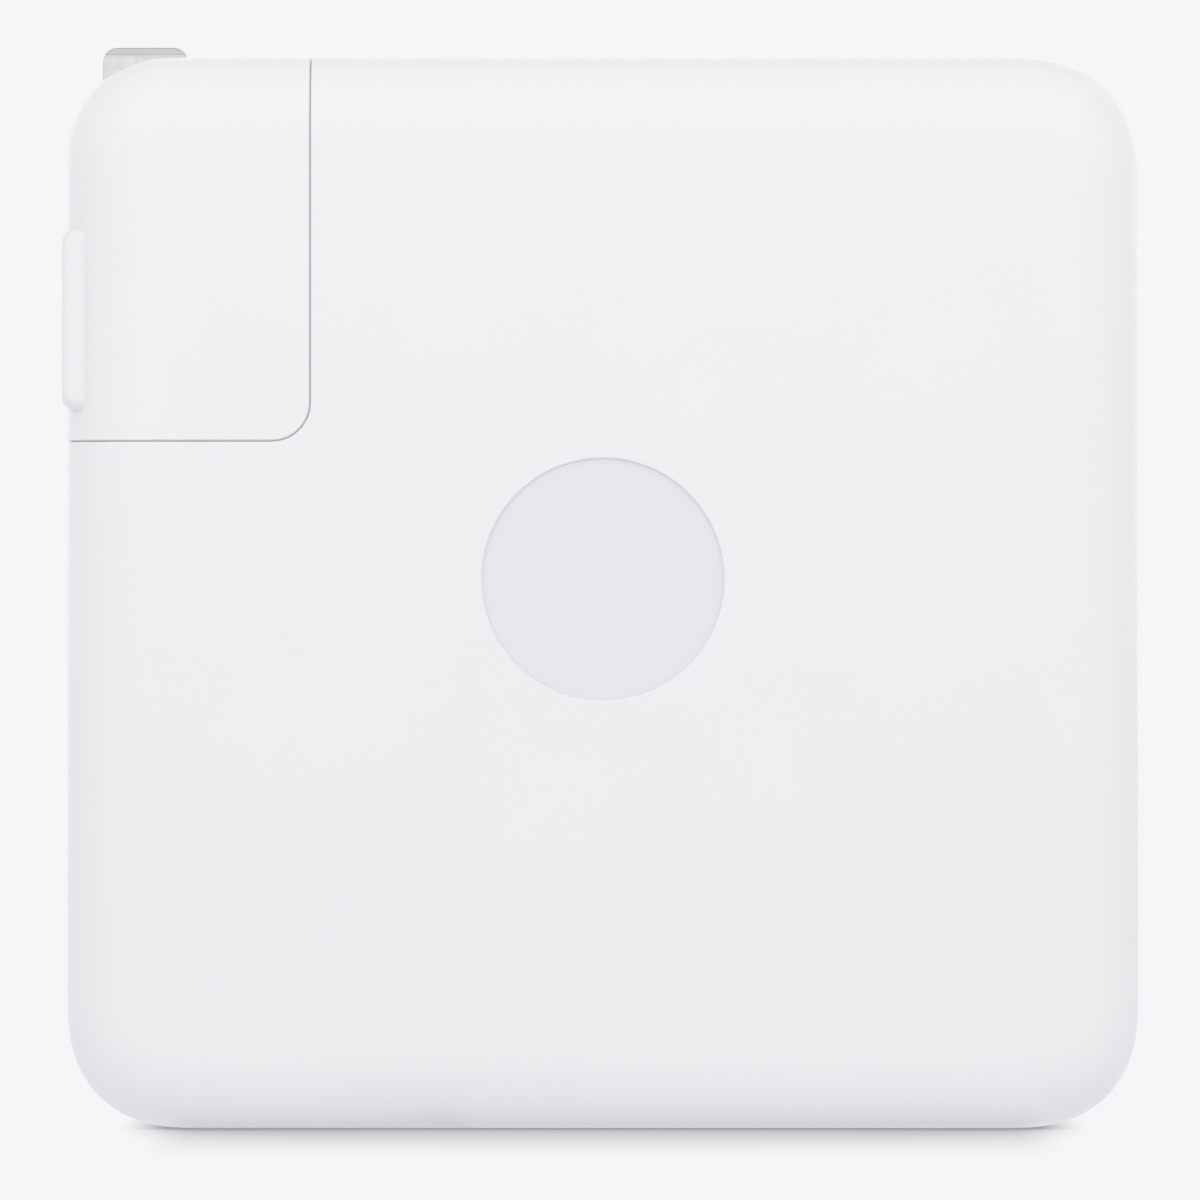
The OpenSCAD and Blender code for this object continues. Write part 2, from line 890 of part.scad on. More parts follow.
module locking_stud() {
    color(nickel)
        translate([notch_x, 0, stud_z])
            rotate([0, 90, 0]) {
                translate([0, 0, wall])
                    cylinder(r = stud_flange_r, h = stud_flange_t);
                cylinder(r = stud_shank_r, h = wall);
                translate([0, 0, -stud_neck_l])
                    cylinder(r = stud_neck_r, h = stud_neck_l);
                translate([0, 0, -stud_neck_l - stud_head_t])
                    cylinder(r = stud_head_r, h = stud_head_t);
            }
}

// Strip from the stud's flange to the front of the main board
module ground_strap() {
    color(copper) {
        translate([strap_x, 0, stud_z - strap_w / 2])
            cube([strap_t, board_y, strap_w]);
        translate([strap_x, board_y - strap_t, stud_z - strap_w / 2])
            cube([strap_t + strap_gap, strap_t, strap_w]);
    }
}

// ---------- Corner plug ----------

module wall_pad() {
    pad_reach = pad_proud + blade_inset;
    translate([left_x - pad_proud + pad_reach / 2, 0, hinge_z - pad_drop + pad_h / 2])
        soft_plate(pad_reach, pad_h, pad_w, pad_corner, pad_edge);
}

// Box between two depths on both blades
module at_blades(half_t) {
    for (side = [-1, 1])
        translate([0, side * blade_pitch / 2 - half_t, 0])
            children();
}

module blade_slots() {
    half_t = blade_t / 2 + slot_gap;
    at_blades(half_t)
        translate([left_x - far, 0, hinge_z - blade_w / 2 - slot_gap])
            cube([far + blade_inset + blade_w + slot_gap, 2 * half_t, far]);
}

module troughs() {
    half_t = blade_t / 2 + slot_gap + trough_wall;
    at_blades(half_t)
        translate([left_x, 0, hinge_z + drum_r + trough_gap])
            cube([blade_inset + blade_w + slot_gap + trough_wall, 2 * half_t, far]);
}

module guide_box(margin) {
    translate([guide_back_x - margin, -guide_half_w - margin, plug_floor_z - past])
        cube([far, 2 * (guide_half_w + margin), guide_top_z + margin - plug_floor_z + past]);
}

module plug_shell() {
    color(white_plastic)
        difference() {
            union() {
                plug_block(0);
                wall_pad();
            }
            difference() {
                plug_block(plug_wall);
                troughs();
            }
            blade_slots();
            guide_box(fit_gap);
            translate([nose_x, 0, plug_floor_z - past])
                linear_extrude(plug_wall + 2 * past)
                    figure_eight(nose_r + fit_gap, nose_waist + 2 * fit_gap);
        }
}

// Keyhole channel that slides over the stud from below
module stud_guide() {
    color(inner_plastic)
        difference() {
            intersection() {
                plug_block(0);
                guide_box(0);
            }
            for (cut = [[stud_neck_r + stud_gap, far], [stud_head_r + stud_gap, channel_t]])
                translate([channel_x, 0, 0]) {
                    translate([0, -cut[0], plug_floor_z - past])
                        cube([cut[1], 2 * cut[0], stud_z - plug_floor_z + past]);
                    translate([0, 0, stud_z])
                        rotate([0, 90, 0])
                            cylinder(r = cut[0], h = cut[1]);
                }
        }
}

module stud_clip() {
    half_w = 0.8 * stud_head_r;
    color(steel)
        translate([channel_x, -half_w, stud_z - stud_head_r])
            cube([clip_t, 2 * half_w, stud_head_r]);
}

module plug_nose() {
    color(inner_plastic)
        difference() {
            union() {
                translate([nose_x, 0, nose_tip_z])
                    linear_extrude(plug_inner_floor_z - nose_tip_z)
                        figure_eight(nose_r, nose_waist);
                translate([nose_x, 0, plug_inner_floor_z])
                    linear_extrude(nose_flange_t)
                        figure_eight(nose_r + nose_flange, nose_waist + 2 * nose_flange);
            }
            for (side = [-1, 1])
                translate([nose_x, side * pin_pitch / 2, nose_tip_z - past])
                    cylinder(r = pin_r + sleeve_gap + sleeve_t + press_gap, h = far);
        }
}

module contact_sleeves() {
    sleeve_z = nose_tip_z + sleeve_in;
    sleeve_l = plug_inner_floor_z + nose_flange_t - sleeve_z;
    color(brass)
        for (side = [-1, 1])
            translate([nose_x, side * pin_pitch / 2, sleeve_z])
                difference() {
                    cylinder(r = pin_r + sleeve_gap + sleeve_t, h = sleeve_l);
                    translate([0, 0, -past])
                        cylinder(r = pin_r + sleeve_gap, h = far);
                }
}

// Strips from the sleeves to the tails of the folded-out blades
module contact_springs() {
    foot_z = plug_inner_floor_z + nose_flange_t;
    foot_y = pin_pitch / 2 - pin_r;
    color(brass)
        for (side = [0, 1])
            mirror([0, side, 0]) {
                translate([spring_x, blade_pitch / 2 - spring_w / 2, foot_z])
                    cube([spring_t, spring_w, hinge_z + spring_rise - foot_z]);
                translate([spring_x - spring_foot / 2, foot_y, foot_z])
                    cube([spring_foot, blade_pitch / 2 + spring_w / 2 - foot_y, spring_t]);
            }
}

// Leaf that presses on the flats of the drum
module detent_spring() {
    color(steel) {
        translate([detent_x, -detent_w / 2, hinge_z - detent_drop])
            cube([detent_t, detent_w, detent_top_z - hinge_z + detent_drop]);
        translate([detent_x, -detent_w / 2, detent_top_z - detent_t])
            cube([guide_back_x - detent_x, detent_w, detent_t]);
    }
}

module drum_bearings() {
    bearing_y = drum_l / 2 + bearing_gap;
    color(inner_plastic)
        intersection() {
            for (side = [-1, 1])
                translate([hinge_x, side * (bearing_y + far / 2), hinge_z])
                    rotate([90, 0, 0])
                        difference() {
                            cube([2 * bearing_half, 2 * bearing_half, far], center = true);
                            cylinder(r = journal_r + journal_gap, h = 2 * far, center = true);
                        }
            plug_block(plug_wall);
        }
}

// ---------- Folding blades ----------

module blade_drum() {
    color(white_plastic)
        translate([hinge_x, 0, hinge_z])
            difference() {
                rotate([90, 0, 0])
                    union() {
                        cylinder(r = drum_r, h = drum_l, center = true);
                        cylinder(r = journal_r, h = drum_l + 2 * journal_l, center = true);
                    }
                blade_seats();
                translate([drum_r - flat_depth, -detent_w / 2 - fit_gap, -drum_r])
                    cube([drum_r, detent_w + 2 * fit_gap, 2 * drum_r]);
                translate([-drum_r, -detent_w / 2 - fit_gap, -2 * drum_r + flat_depth])
                    cube([2 * drum_r, detent_w + 2 * fit_gap, drum_r]);
            }
}

module blade_seats() {
    half_t = blade_t / 2 + press_gap;
    at_blades(half_t) {
        translate([-blade_w / 2 - press_gap, 0, blade_root - press_gap])
            cube([blade_w + 2 * press_gap, 2 * half_t, far]);
        translate([-tail_w / 2 - press_gap, 0, -far])
            cube([tail_w + 2 * press_gap, 2 * half_t, far + blade_root]);
    }
}

// Front view of a blade from its hinge axis
module blade_face() {
    translate([-tail_w / 2, -tail_l])
        square([tail_w, tail_l + blade_root]);
    translate([-blade_w / 2, blade_root])
        square([blade_w, blade_reach - tip_r - blade_root]);
    translate([-blade_w / 2 + tip_r, blade_reach - tip_r])
        square([blade_w - 2 * tip_r, tip_r]);
    translate([blade_w / 2 - tip_r, blade_reach - tip_r])
        quarter_disc(tip_r);
    translate([tip_r - blade_w / 2, blade_reach - tip_r])
        rotate(90)
            quarter_disc(tip_r);
}

// Side view of a blade with its bevelled tip
module blade_edge() {
    half = blade_t / 2;
    polygon([
        [-half, -tail_l], [half, -tail_l], [half, blade_reach - tip_bevel],
        [half - tip_bevel_depth, blade_reach], [tip_bevel_depth - half, blade_reach],
        [-half, blade_reach - tip_bevel]
    ]);
}

module blade(side) {
    color(nickel)
        translate([hinge_x, side * blade_pitch / 2, hinge_z])
            intersection() {
                slab(-blade_t, blade_t)
                    blade_face();
                rotate([90, 0, 90])
                    linear_extrude(2 * blade_w, center = true)
                        blade_edge();
            }
}

front_shell();
rear_shell();
front_insulator();
rear_insulator();
front_heat_spreader();
rear_heat_spreader();
front_thermal_pads();
rear_thermal_pads();
main_board();
bulk_capacitors();
choke_core();
choke_windings();
line_capacitor();
transformer_core();
transformer_winding();
boost_inductor();
bridge_rectifier();
fuse();
safety_capacitor();
power_transistors();
control_chips();
optocoupler();
output_capacitors();
output_inductor();
port_board();
port_board_pins();
port_shell();
port_tongue();
port_contacts();
mains_inlet();
mains_pins();
mains_leads();
locking_stud();
ground_strap();
plug_shell();
stud_guide();
stud_clip();
plug_nose();
contact_sleeves();
contact_springs();
detent_spring();
drum_bearings();
blade_drum();
blade(-1);  // front_blade
blade(1);  // rear_blade
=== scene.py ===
"""Laptop power adapter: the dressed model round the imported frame.

Everything is in metres, in the frame's own axes: X to the right, Y from the front face to the
rear, Z up, with the origin in the middle of the lower side.
"""

import json
from math import asin, cos, pi, radians, sin, sqrt, tan

import bmesh
import bpy
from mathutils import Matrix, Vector


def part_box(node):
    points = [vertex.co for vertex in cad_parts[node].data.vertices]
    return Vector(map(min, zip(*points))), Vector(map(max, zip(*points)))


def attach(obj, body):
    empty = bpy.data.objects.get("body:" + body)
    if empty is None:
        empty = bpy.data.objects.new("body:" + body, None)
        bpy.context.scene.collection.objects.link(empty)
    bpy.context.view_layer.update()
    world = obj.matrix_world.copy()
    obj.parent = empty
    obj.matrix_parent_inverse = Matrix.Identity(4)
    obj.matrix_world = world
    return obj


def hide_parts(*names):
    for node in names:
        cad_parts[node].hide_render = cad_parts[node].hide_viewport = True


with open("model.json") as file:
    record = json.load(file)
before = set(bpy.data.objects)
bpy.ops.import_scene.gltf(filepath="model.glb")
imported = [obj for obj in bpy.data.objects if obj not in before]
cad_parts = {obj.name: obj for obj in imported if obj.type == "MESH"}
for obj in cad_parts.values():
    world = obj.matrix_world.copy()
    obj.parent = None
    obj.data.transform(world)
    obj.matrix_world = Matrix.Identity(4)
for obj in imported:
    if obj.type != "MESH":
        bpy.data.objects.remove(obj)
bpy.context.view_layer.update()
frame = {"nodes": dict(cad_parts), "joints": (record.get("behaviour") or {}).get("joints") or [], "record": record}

MM = 0.001
X, Y, Z = Vector((1, 0, 0)), Vector((0, 1, 0)), Vector((0, 0, 1))

# ---- Sizes from the frame


def mm(*lengths):
    """Lengths in millimetres, in metres."""
    return [length * MM for length in lengths]


def measures(name):
    """A CAD node's lowest and highest corners, its middle and its size."""
    lo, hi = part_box(name)
    return lo, hi, (lo + hi) / 2, hi - lo


housing_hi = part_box("rear_shell")[1]
plug_lo, plug_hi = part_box("plug_shell")
RIGHT = housing_hi.x
LEFT = -RIGHT
TOP = housing_hi.z
HALF_T = housing_hi.y
PAD_X = plug_lo.x
PLUG_RIGHT = plug_hi.x
PLUG_FLOOR = plug_lo.z
HINGE = Vector(next(j for j in frame["joints"] if j["name"] == "blade_fold")["pos_m"])
NOSE_X = measures("plug_nose")[2].x

# ---- Sizes of the shells

SEAM_GAP = 0.13 * MM
SEAM_ROUND = 0.13 * MM
SEAM_X = PLUG_RIGHT + SEAM_GAP
NOTCH_Z = PLUG_FLOOR - SEAM_GAP
NOTCH_R = 2.9 * MM

# The seam shows as a shallow groove with a fine gap at its foot: the gap, then the width, depth
# and rounding of the step in the plug's edge.
SEAM_SHOWN = 0.025 * MM
REBATE = mm(0.075, 0.21)
REBATE_ROUND = 0.07 * MM

PLUG_WALL_X = SEAM_X - SEAM_SHOWN
PLUG_FLOOR_Z = NOTCH_Z + SEAM_SHOWN
CORNER_REACH = 9.42 * MM
CORNER_POWER = 2.4
PLUG_CORNER = 7.45 * MM
EDGE_REACH = 6 * MM
EDGE_POWER = 2.2
WALL = 2.2 * MM
PLUG_WALL = 1.7 * MM
LIP_H = 1.2 * MM
LIP_GAP = 0.05 * MM
PARTING_GAP = 0.02 * MM
PARTING_CHAMFER = 0.07 * MM
FIT_GAP = 0.05 * MM
BADGE_R = 9 * MM
BADGE_DEPTH = 0.25 * MM
BADGE_Z = 41 * MM
BADGE_RIM = 0.14 * MM
BADGE_FOOT = 0.1 * MM
RIM = 0.12 * MM
RIM_DEPTH = 2.5 * RIM
SOFT_ROUND = 0.3 * MM
FINE_ROUND = 0.1 * MM

# How far cutters reach past what they cut, and how far they cross a surface that they follow.
PAST = 1 * MM
CROSS = 0.003 * MM

# ---- Sizes of the plug's and the socket's parts

BLADE_W = 6.35 * MM
BLADE_T = 1.5 * MM
BLADE_PITCH = 12.7 * MM
BLADE_YS = (-BLADE_PITCH / 2, BLADE_PITCH / 2)
BLADE_ROOT = 1 * MM
TAIL_W = 2.4 * MM
TIP_R = 1.1 * MM
TIP_BEVEL = 0.8 * MM
TIP_BEVEL_DEPTH = 0.35 * MM
BLADE_ROUND = 0.09 * MM
SLOT_GAP = 0.25 * MM
SLOT_HALF = BLADE_T / 2 + SLOT_GAP
TROUGH_WALL = 0.9 * MM
TROUGH_Z = HINGE.z + 4.3 * MM
SLOT_END_X = HINGE.x + BLADE_W / 2 + SLOT_GAP
SLOT_END_Z = HINGE.z - BLADE_W / 2 - SLOT_GAP
PAD_LO = Vector((PAD_X, -12.7 * MM, HINGE.z - 4.86 * MM))
PAD_HI = Vector((LEFT + 2.6 * MM, 12.7 * MM, HINGE.z + 8.92 * MM))
PAD_CORNER = 0.9 * MM
PAD_ROUND = 0.75 * MM

# Depth and length of the pad's tapers above and below, and of its slopes to front and rear.
PAD_END = mm(1.4, 1.1)
PAD_END_POWER = 1.6
PAD_SLOPE = mm(0.12, 4.35)

PIN_PITCH = 8.6 * MM
PIN_R = 1.2 * MM
PIN_FOOT_ROUND = 0.15 * MM
PIN_TIP_ROUND = 0.6 * MM
PIN_HOLE_RIM = 0.15 * MM
NOSE_R = 3.5 * MM
NOSE_WAIST = 4.8 * MM
NOSE_GAP = 0.2 * MM
NOSE_FOOT = 0.4 * MM
BORE_GAP = 0.02 * MM
BORE_RIM = 0.2 * MM
INLET_WALL = 1 * MM
INLET_R = NOSE_R + NOSE_GAP + INLET_WALL
INLET_WAIST = NOSE_WAIST + 2 * INLET_WALL
INLET_ROUND = 0.4 * MM
COLLAR_LIP = 0.5 * MM
WELL_GAP = 0.6 * MM
STUD_Z = NOTCH_Z + 12.4 * MM
STUD_HEAD_R = 3.2 * MM
STUD_HEAD_T = 1.3 * MM
STUD_NECK_R = 1.7 * MM
STUD_SHANK_R = 2 * MM
STUD_FLANGE_R = 4.5 * MM
PORT_W = 8.94 * MM
PORT_T = 3.16 * MM
PORT_SHEET = 0.3 * MM
PORT_GAP = 0.08 * MM
PORT_ROUND = 0.13 * MM
TONGUE_W = 6.69 * MM
TONGUE_T = 0.7 * MM
TONGUE_ROOT = 1.9 * MM
TONGUE_CORNER = 0.6 * MM
SLEEVE_T = 0.4 * MM
CHOKE_BORE_R = 3.5 * MM
CHOKE_ROUND = 0.6 * MM
INDUCTOR_EDGE = 0.4 * MM
COIL_CORNER = 0.8 * MM
CHOKE_TURNS = 7
CHOKE_STEP = radians(19)
WIRE_R = 0.48 * MM

# ---- Fineness of the meshes

CORNER_STEPS = 28
EDGE_STEPS = 16
ARC_STEPS = 16
ROUND_TURNS = [pi / 8 * k for k in range(5)]
TURN_STEPS = 72
TIP_STEPS = 12
PAD_STEPS = 14
SIDE_STEPS = 8
LONG = 4 * MM
WELD = 0.001 * MM
ON_PLANE = 0.0001 * MM
CAD_ROUND = 0.08 * MM

# ---- Meshes


def smooth(obj, angle=35):
    """Smooth shading with creases kept, and flat faces that stay flat up to their edges."""
    obj.data.shade_smooth()
    obj.data.set_sharp_from_angle(angle=radians(angle))
    weighted = obj.modifiers.new("weighted", "WEIGHTED_NORMAL")
    weighted.keep_sharp = True
    return obj


def add(name, data):
    """A new object in the scene."""
    obj = bpy.data.objects.new(name, data)
    bpy.context.scene.collection.objects.link(obj)
    return obj


def solid(name, faces):
    """An object from faces, each a list of corner points, welded into closed solids."""
    bm = bmesh.new()
    for face in faces:
        bm.faces.new([bm.verts.new(p) for p in face])
    bmesh.ops.remove_doubles(bm, verts=bm.verts, dist=WELD)
    bmesh.ops.recalc_face_normals(bm, faces=bm.faces)
    mesh = bpy.data.meshes.new(name)
    bm.to_mesh(mesh)
    bm.free()
    return add(name, mesh)


def grid(rows):
    """Quads between neighbouring rows of points."""
    return [
        [a[i], a[i + 1], b[i + 1], b[i]]
        for a, b in zip(rows, rows[1:])
        for i in range(len(a) - 1)
    ]


def hoops(loops):
    """Quads between neighbouring closed loops of points."""
    return grid([loop + loop[:1] for loop in loops])


def capped(loops):
    """Closed loops of points joined into a solid, with a flat face over each end."""
    return hoops(loops) + [list(loops[0]), list(loops[-1])]


def box_faces(lo, hi):
    """The faces of a box."""
    base = [(lo[0], lo[1]), (hi[0], lo[1]), (hi[0], hi[1]), (lo[0], hi[1])]
    return capped([[Vector((x, y, z)) for x, y in base] for z in (lo[2], hi[2])])


def mirrored(faces):
    """The same faces on the other side of the middle plane."""
    return [[Vector((p.x, -p.y, p.z)) for p in face] for face in faces]


def apply_modifiers(obj):
    bpy.context.view_layer.update()
    depsgraph = bpy.context.evaluated_depsgraph_get()
    mesh = bpy.data.meshes.new_from_object(obj.evaluated_get(depsgraph))
    obj.modifiers.clear()
    obj.data = mesh
    return obj


def merge(obj, tool, operation):
    """Joins the tool on to obj or cuts it out, by a boolean operation, and removes it."""
    step = obj.modifiers.new("step", "BOOLEAN")
    step.operation = operation
    step.solver = "EXACT"
    step.object = tool
    apply_modifiers(obj)
    bpy.data.objects.remove(tool)
    return obj


def combine(obj, faces, operation="DIFFERENCE"):
    """The same, with a tool that the faces bound."""
    return merge(obj, solid("tool", faces), operation)


def form(name, faces, ending="_form"):
    """The smooth new piece that stands in for a CAD node, or for its legs."""
    return smooth(solid(name + ending, faces))


def soften(obj, width, segments=2, angle=40):
    """Rounds an object's sharp edges."""
    bevel = obj.modifiers.new("soften", "BEVEL")
    bevel.width = width
    bevel.segments = segments
    bevel.limit_method = "ANGLE"
    bevel.angle_limit = radians(angle)
    bevel.harden_normals = True
    return obj


# ---- Outlines in a plane


def quarter(a, b, power, steps):
    """Points and normals of a quarter of a superellipse, from (a, 0) to (0, b)."""
    out = []
    for k in range(steps + 1):
        c, s = max(0, cos(pi / 2 * k / steps)), sin(pi / 2 * k / steps)
        point = Vector((a * c ** (2 / power), b * s ** (2 / power)))
        normal = Vector((c ** (2 - 2 / power) / a, s ** (2 - 2 / power) / b))
        out.append((point, normal.normalized()))
    return out


def arc(centre, r, start, end, steps):
    """Points of an arc with their outward directions."""
    turns = [start + (end - start) * k / steps for k in range(steps + 1)]
    return [(centre + r * Vector((cos(t), sin(t))), Vector((cos(t), sin(t)))) for t in turns]


def circle_loop(r):
    return arc(Vector((0, 0)), r, 0, 2 * pi, TURN_STEPS)[:-1]


def stadium_loop(length, width):
    """A slot with round ends, long along its second axis."""
    half = Vector((0, (length - width) / 2))
    return arc(half, width / 2, 0, pi, ARC_STEPS) + arc(-half, width / 2, pi, 2 * pi, ARC_STEPS)


def eight_loop(r, waist):
    """Two lobes along the second axis, at the mains pins' pitch, joined by a waist."""
    half = Vector((0, PIN_PITCH / 2))
    dip = asin(sqrt(r * r - waist * waist / 4) / r)
    upper = arc(half, r, -dip, pi + dip, 2 * ARC_STEPS)
    return upper + arc(-half, r, pi - dip, 2 * pi + dip, 2 * ARC_STEPS)


def rect_loop(half_a, half_b, r):
    """A rectangle with round corners, centred."""
    loop = []
    for k, (sa, sb) in enumerate(((1, 1), (-1, 1), (-1, -1), (1, -1))):
        centre = Vector((sa * (half_a - r), sb * (half_b - r)))
        loop += arc(centre, r, k * pi / 2, (k + 1) * pi / 2, ARC_STEPS // 2)
    return loop


def placed(loop, origin, u, v, n):
    """A plane loop put in space: points, directions away from its middle, surface normal."""
    return [(origin + u * p.x + v * p.y, u * w.x + v * w.y, n) for p, w in loop]


def filleted(points, r, steps=5):
    """A line of plane points with its inner corners rounded."""
    points = [Vector(p) for p in points]
    out = [points[0]]
    for a, b, c in zip(points, points[1:], points[2:]):
        u, v = (a - b).normalized(), (c - b).normalized()
        half = u.angle(v) / 2
        centre = b + (u + v).normalized() * r / sin(half)
        start, end = b + u * r / tan(half) - centre, b + v * r / tan(half) - centre
        turn = pi - 2 * half
        for f in [k / steps for k in range(steps + 1)]:
            out.append(centre + (start * sin((1 - f) * turn) + end * sin(f * turn)) / sin(turn))
    return out + [points[-1]]


def around(origin, axis):
    """The loop of directions about an axis, for turned shapes."""
    u = axis.orthogonal().normalized()
    return placed(circle_loop(0), origin, u, axis.cross(u), axis)


def lofted(loop, profile):
    """Faces of a solid whose profile of (offset, height) points follows a placed loop."""
    return capped([[p + d * w + h * n for p, w, n in loop] for d, h in profile])


def lofted_ring(loop, profile):
    """The same with a profile that closes on itself, such as a tube's section."""
    loops = [[p + d * w + h * n for p, w, n in loop] for d, h in profile]
    return hoops(loops + loops[:1])


def turned(places, axis, profile, loft=lofted):
    """Faces of the same turned shape at each place."""
    return [face for place in places for face in loft(around(place, axis), profile)]


def section(inner, outer, low, high, r):
    """Rounded section of a ring between two offsets and two heights."""
    start = (inner, (low + high) / 2)
    line = [start, (inner, high), (outer, high), (outer, low), (inner, low), start]
    return filleted(line, r)[:-1]


def slab(loop, height, r, steps=5):
    """Faces of a slab with rounded rims over a placed loop."""
    return lofted(loop, filleted([(-r, 0), (0, 0), (0, height), (-r, height)], r, steps))


def soft_block(lo, hi, corner_r, edge):
    """Faces of a box with round corners as seen from the front, and softer front and rear
    edges."""
    half_x, half_z = (hi[0] - lo[0]) / 2, (hi[2] - lo[2]) / 2
    at = Vector((lo[0] + half_x, hi[1], lo[2] + half_z))
    loop = placed(rect_loop(half_x, half_z, corner_r), at, X, Z, -Y)
    return slab(loop, hi[1] - lo[1], edge, steps=3)


def headings(path):
    """The direction of a path at each of its points."""
    ends = path[:1] + path + path[-1:]
    return [(b - a).normalized() for a, b in zip(ends, ends[2:])]


def ribbon(path, across, width, thickness):
    """Faces of a flat strip along a path."""
    loops = []
    for p, ahead in zip(path, headings(path)):
        u, v = across * width / 2, ahead.cross(across) * thickness / 2
        loops.append([p - u - v, p + u - v, p + u + v, p - u + v])
    return capped(loops)


def wire(path, r, sides=12):
    """Faces of a round wire along a path."""
    side = (path[1] - path[0]).orthogonal().normalized()
    turns = [2 * pi * i / sides for i in range(sides)]
    loops = []
    for p, ahead in zip(path, headings(path)):
        side = (side - ahead * side.dot(ahead)).normalized()
        up = ahead.cross(side)
        loops.append([p + r * (side * cos(t) + up * sin(t)) for t in turns])
    return capped(loops)


def rim_levels(loop, depth, rim=RIM, foot=0):
    """Loops of a cutter for a hole whose mouth is rounded by rim, and its bottom edge by foot."""
    levels = [[p + rim * w + PAST * n for p, w, n in loop]]
    for t in ROUND_TURNS:
        sunk = rim * (1 - cos(t)) - CROSS
        levels.append([p + rim * (1 - sin(t)) * w - sunk * n for p, w, n in loop])
    for t in ROUND_TURNS if foot else ROUND_TURNS[:1]:
        sunk = depth - foot + foot * sin(t)
        levels.append([p - foot * (1 - cos(t)) * w - sunk * n for p, w, n in loop])
    return levels


def rim_cutter(*args):
    """The faces of such a cutter, for a flat surface."""
    return capped(rim_levels(*args))


# ---- Outlines of the housing and the plug, from the front, clockwise


def facing(x, z, nx, nz):
    """A point of an outline and its outward direction."""
    return Vector((x, z)), Vector((nx, nz))


def corner(x, z, sx, sz, reach, power, from_side):
    """An outline's rounded corner in one quadrant, from the side or towards it."""
    cx, cz = x - sx * reach, z - sz * reach
    line = [
        facing(cx + sx * p.x, cz + sz * p.y, sx * n.x, sz * n.y)
        for p, n in quarter(reach, reach, power, CORNER_STEPS)
    ]
    return line if from_side else line[::-1]


def filled(line):
    """The outline with points added along its straight sides."""
    out = line[:1]
    for (p, n), (q, m) in zip(line, line[1:]):
        pieces = SIDE_STEPS if (q - p).length > LONG else 1
        out += [(p.lerp(q, k / pieces), n) for k in range(1, pieces)]
        out.append((q, m))
    return out


def housing_outline(margin):
    """From the seam in the top side clockwise to the seam in the left side."""
    shape = (CORNER_REACH, CORNER_POWER)
    line = [facing(SEAM_X + margin, TOP, 0, 1)]
    line += corner(RIGHT, TOP, 1, 1, *shape, False)
    line += corner(RIGHT, 0, 1, -1, *shape, True)
    line += corner(LEFT, 0, -1, -1, *shape, False)
    return filled(line + [facing(LEFT, NOTCH_Z - margin, -1, 0)])


def housing_path():
    """The housing's side of the seam on the front face, with the directions across the seam."""
    turn = Vector((SEAM_X - NOTCH_R, NOTCH_Z + NOTCH_R))
    line = [facing(LEFT + EDGE_REACH, NOTCH_Z, 0, 1)]
    line += [(p, -w) for p, w in arc(turn, NOTCH_R, -pi / 2, 0, ARC_STEPS)]
    return line + [facing(SEAM_X, TOP - EDGE_REACH, -1, 0)]


def plug_outline(margin):
    """From the seam in the left side clockwise to the seam in the top side."""
    line = [facing(LEFT, PLUG_FLOOR_Z + margin, -1, 0)]
    line += corner(LEFT, TOP, -1, 1, PLUG_CORNER, 2, True)
    return filled(line + [facing(PLUG_WALL_X - margin, TOP, 0, 1)])


def plug_path():
    """The plug's side of the seam on the front face, with the directions across the seam."""
    r = NOTCH_R - SEAM_SHOWN
    line = [facing(PLUG_WALL_X, TOP - EDGE_REACH, 1, 0)]
    line += arc(Vector((PLUG_WALL_X - r, PLUG_FLOOR_Z + r)), r, 0, -pi / 2, ARC_STEPS)
    return line + [facing(LEFT + EDGE_REACH, PLUG_FLOOR_Z, 0, -1)]


# ---- Soft blocks with a cut corner


def edge_rows(start):
    """Half section of the soft edge, from the rows given to the front face. A row holds the
    distance in from the side, y, and the normal's parts outwards and along y."""
    flat = HALF_T - EDGE_REACH
    rows = list(start) + [(0, -flat, 1, 0)]
    for p, n in quarter(EDGE_REACH, EDGE_REACH, EDGE_POWER, EDGE_STEPS)[1:]:
        rows.append((EDGE_REACH - p.x, -flat - p.y, n.x, -n.y))
    return rows


def deep(p, y):
    return Vector((p.x, y, p.y))


def on_surface(sample, row, inset):
    """An outline's point at a row of the soft edge, the inset below the surface."""
    p, n = sample
    w, y, nw, ny = row
    return deep(p - n * (w + inset * nw), y - inset * ny)


def seam_round(p, n, w, r, rebate=(0, 0)):
    """Rounding from the surface at p, with normal n, over to the wall that faces w. A rebate,
    given as its width and depth, steps the edge back before the wall."""
    w = deep(w, 0)
    width, depth = rebate
    centre = p - r * n - (r + width) * w
    line = [centre + r * (n * cos(t) + w * sin(t)) for t in ROUND_TURNS]
    return line + ([p - depth * n - width * w, p - depth * n] if width else [])


def seam_at(sample, row, w, inset, *edge):
    normal = deep(sample[1] * row[2], row[3]).normalized()
    return seam_round(on_surface(sample, row, inset), normal, w, *edge)


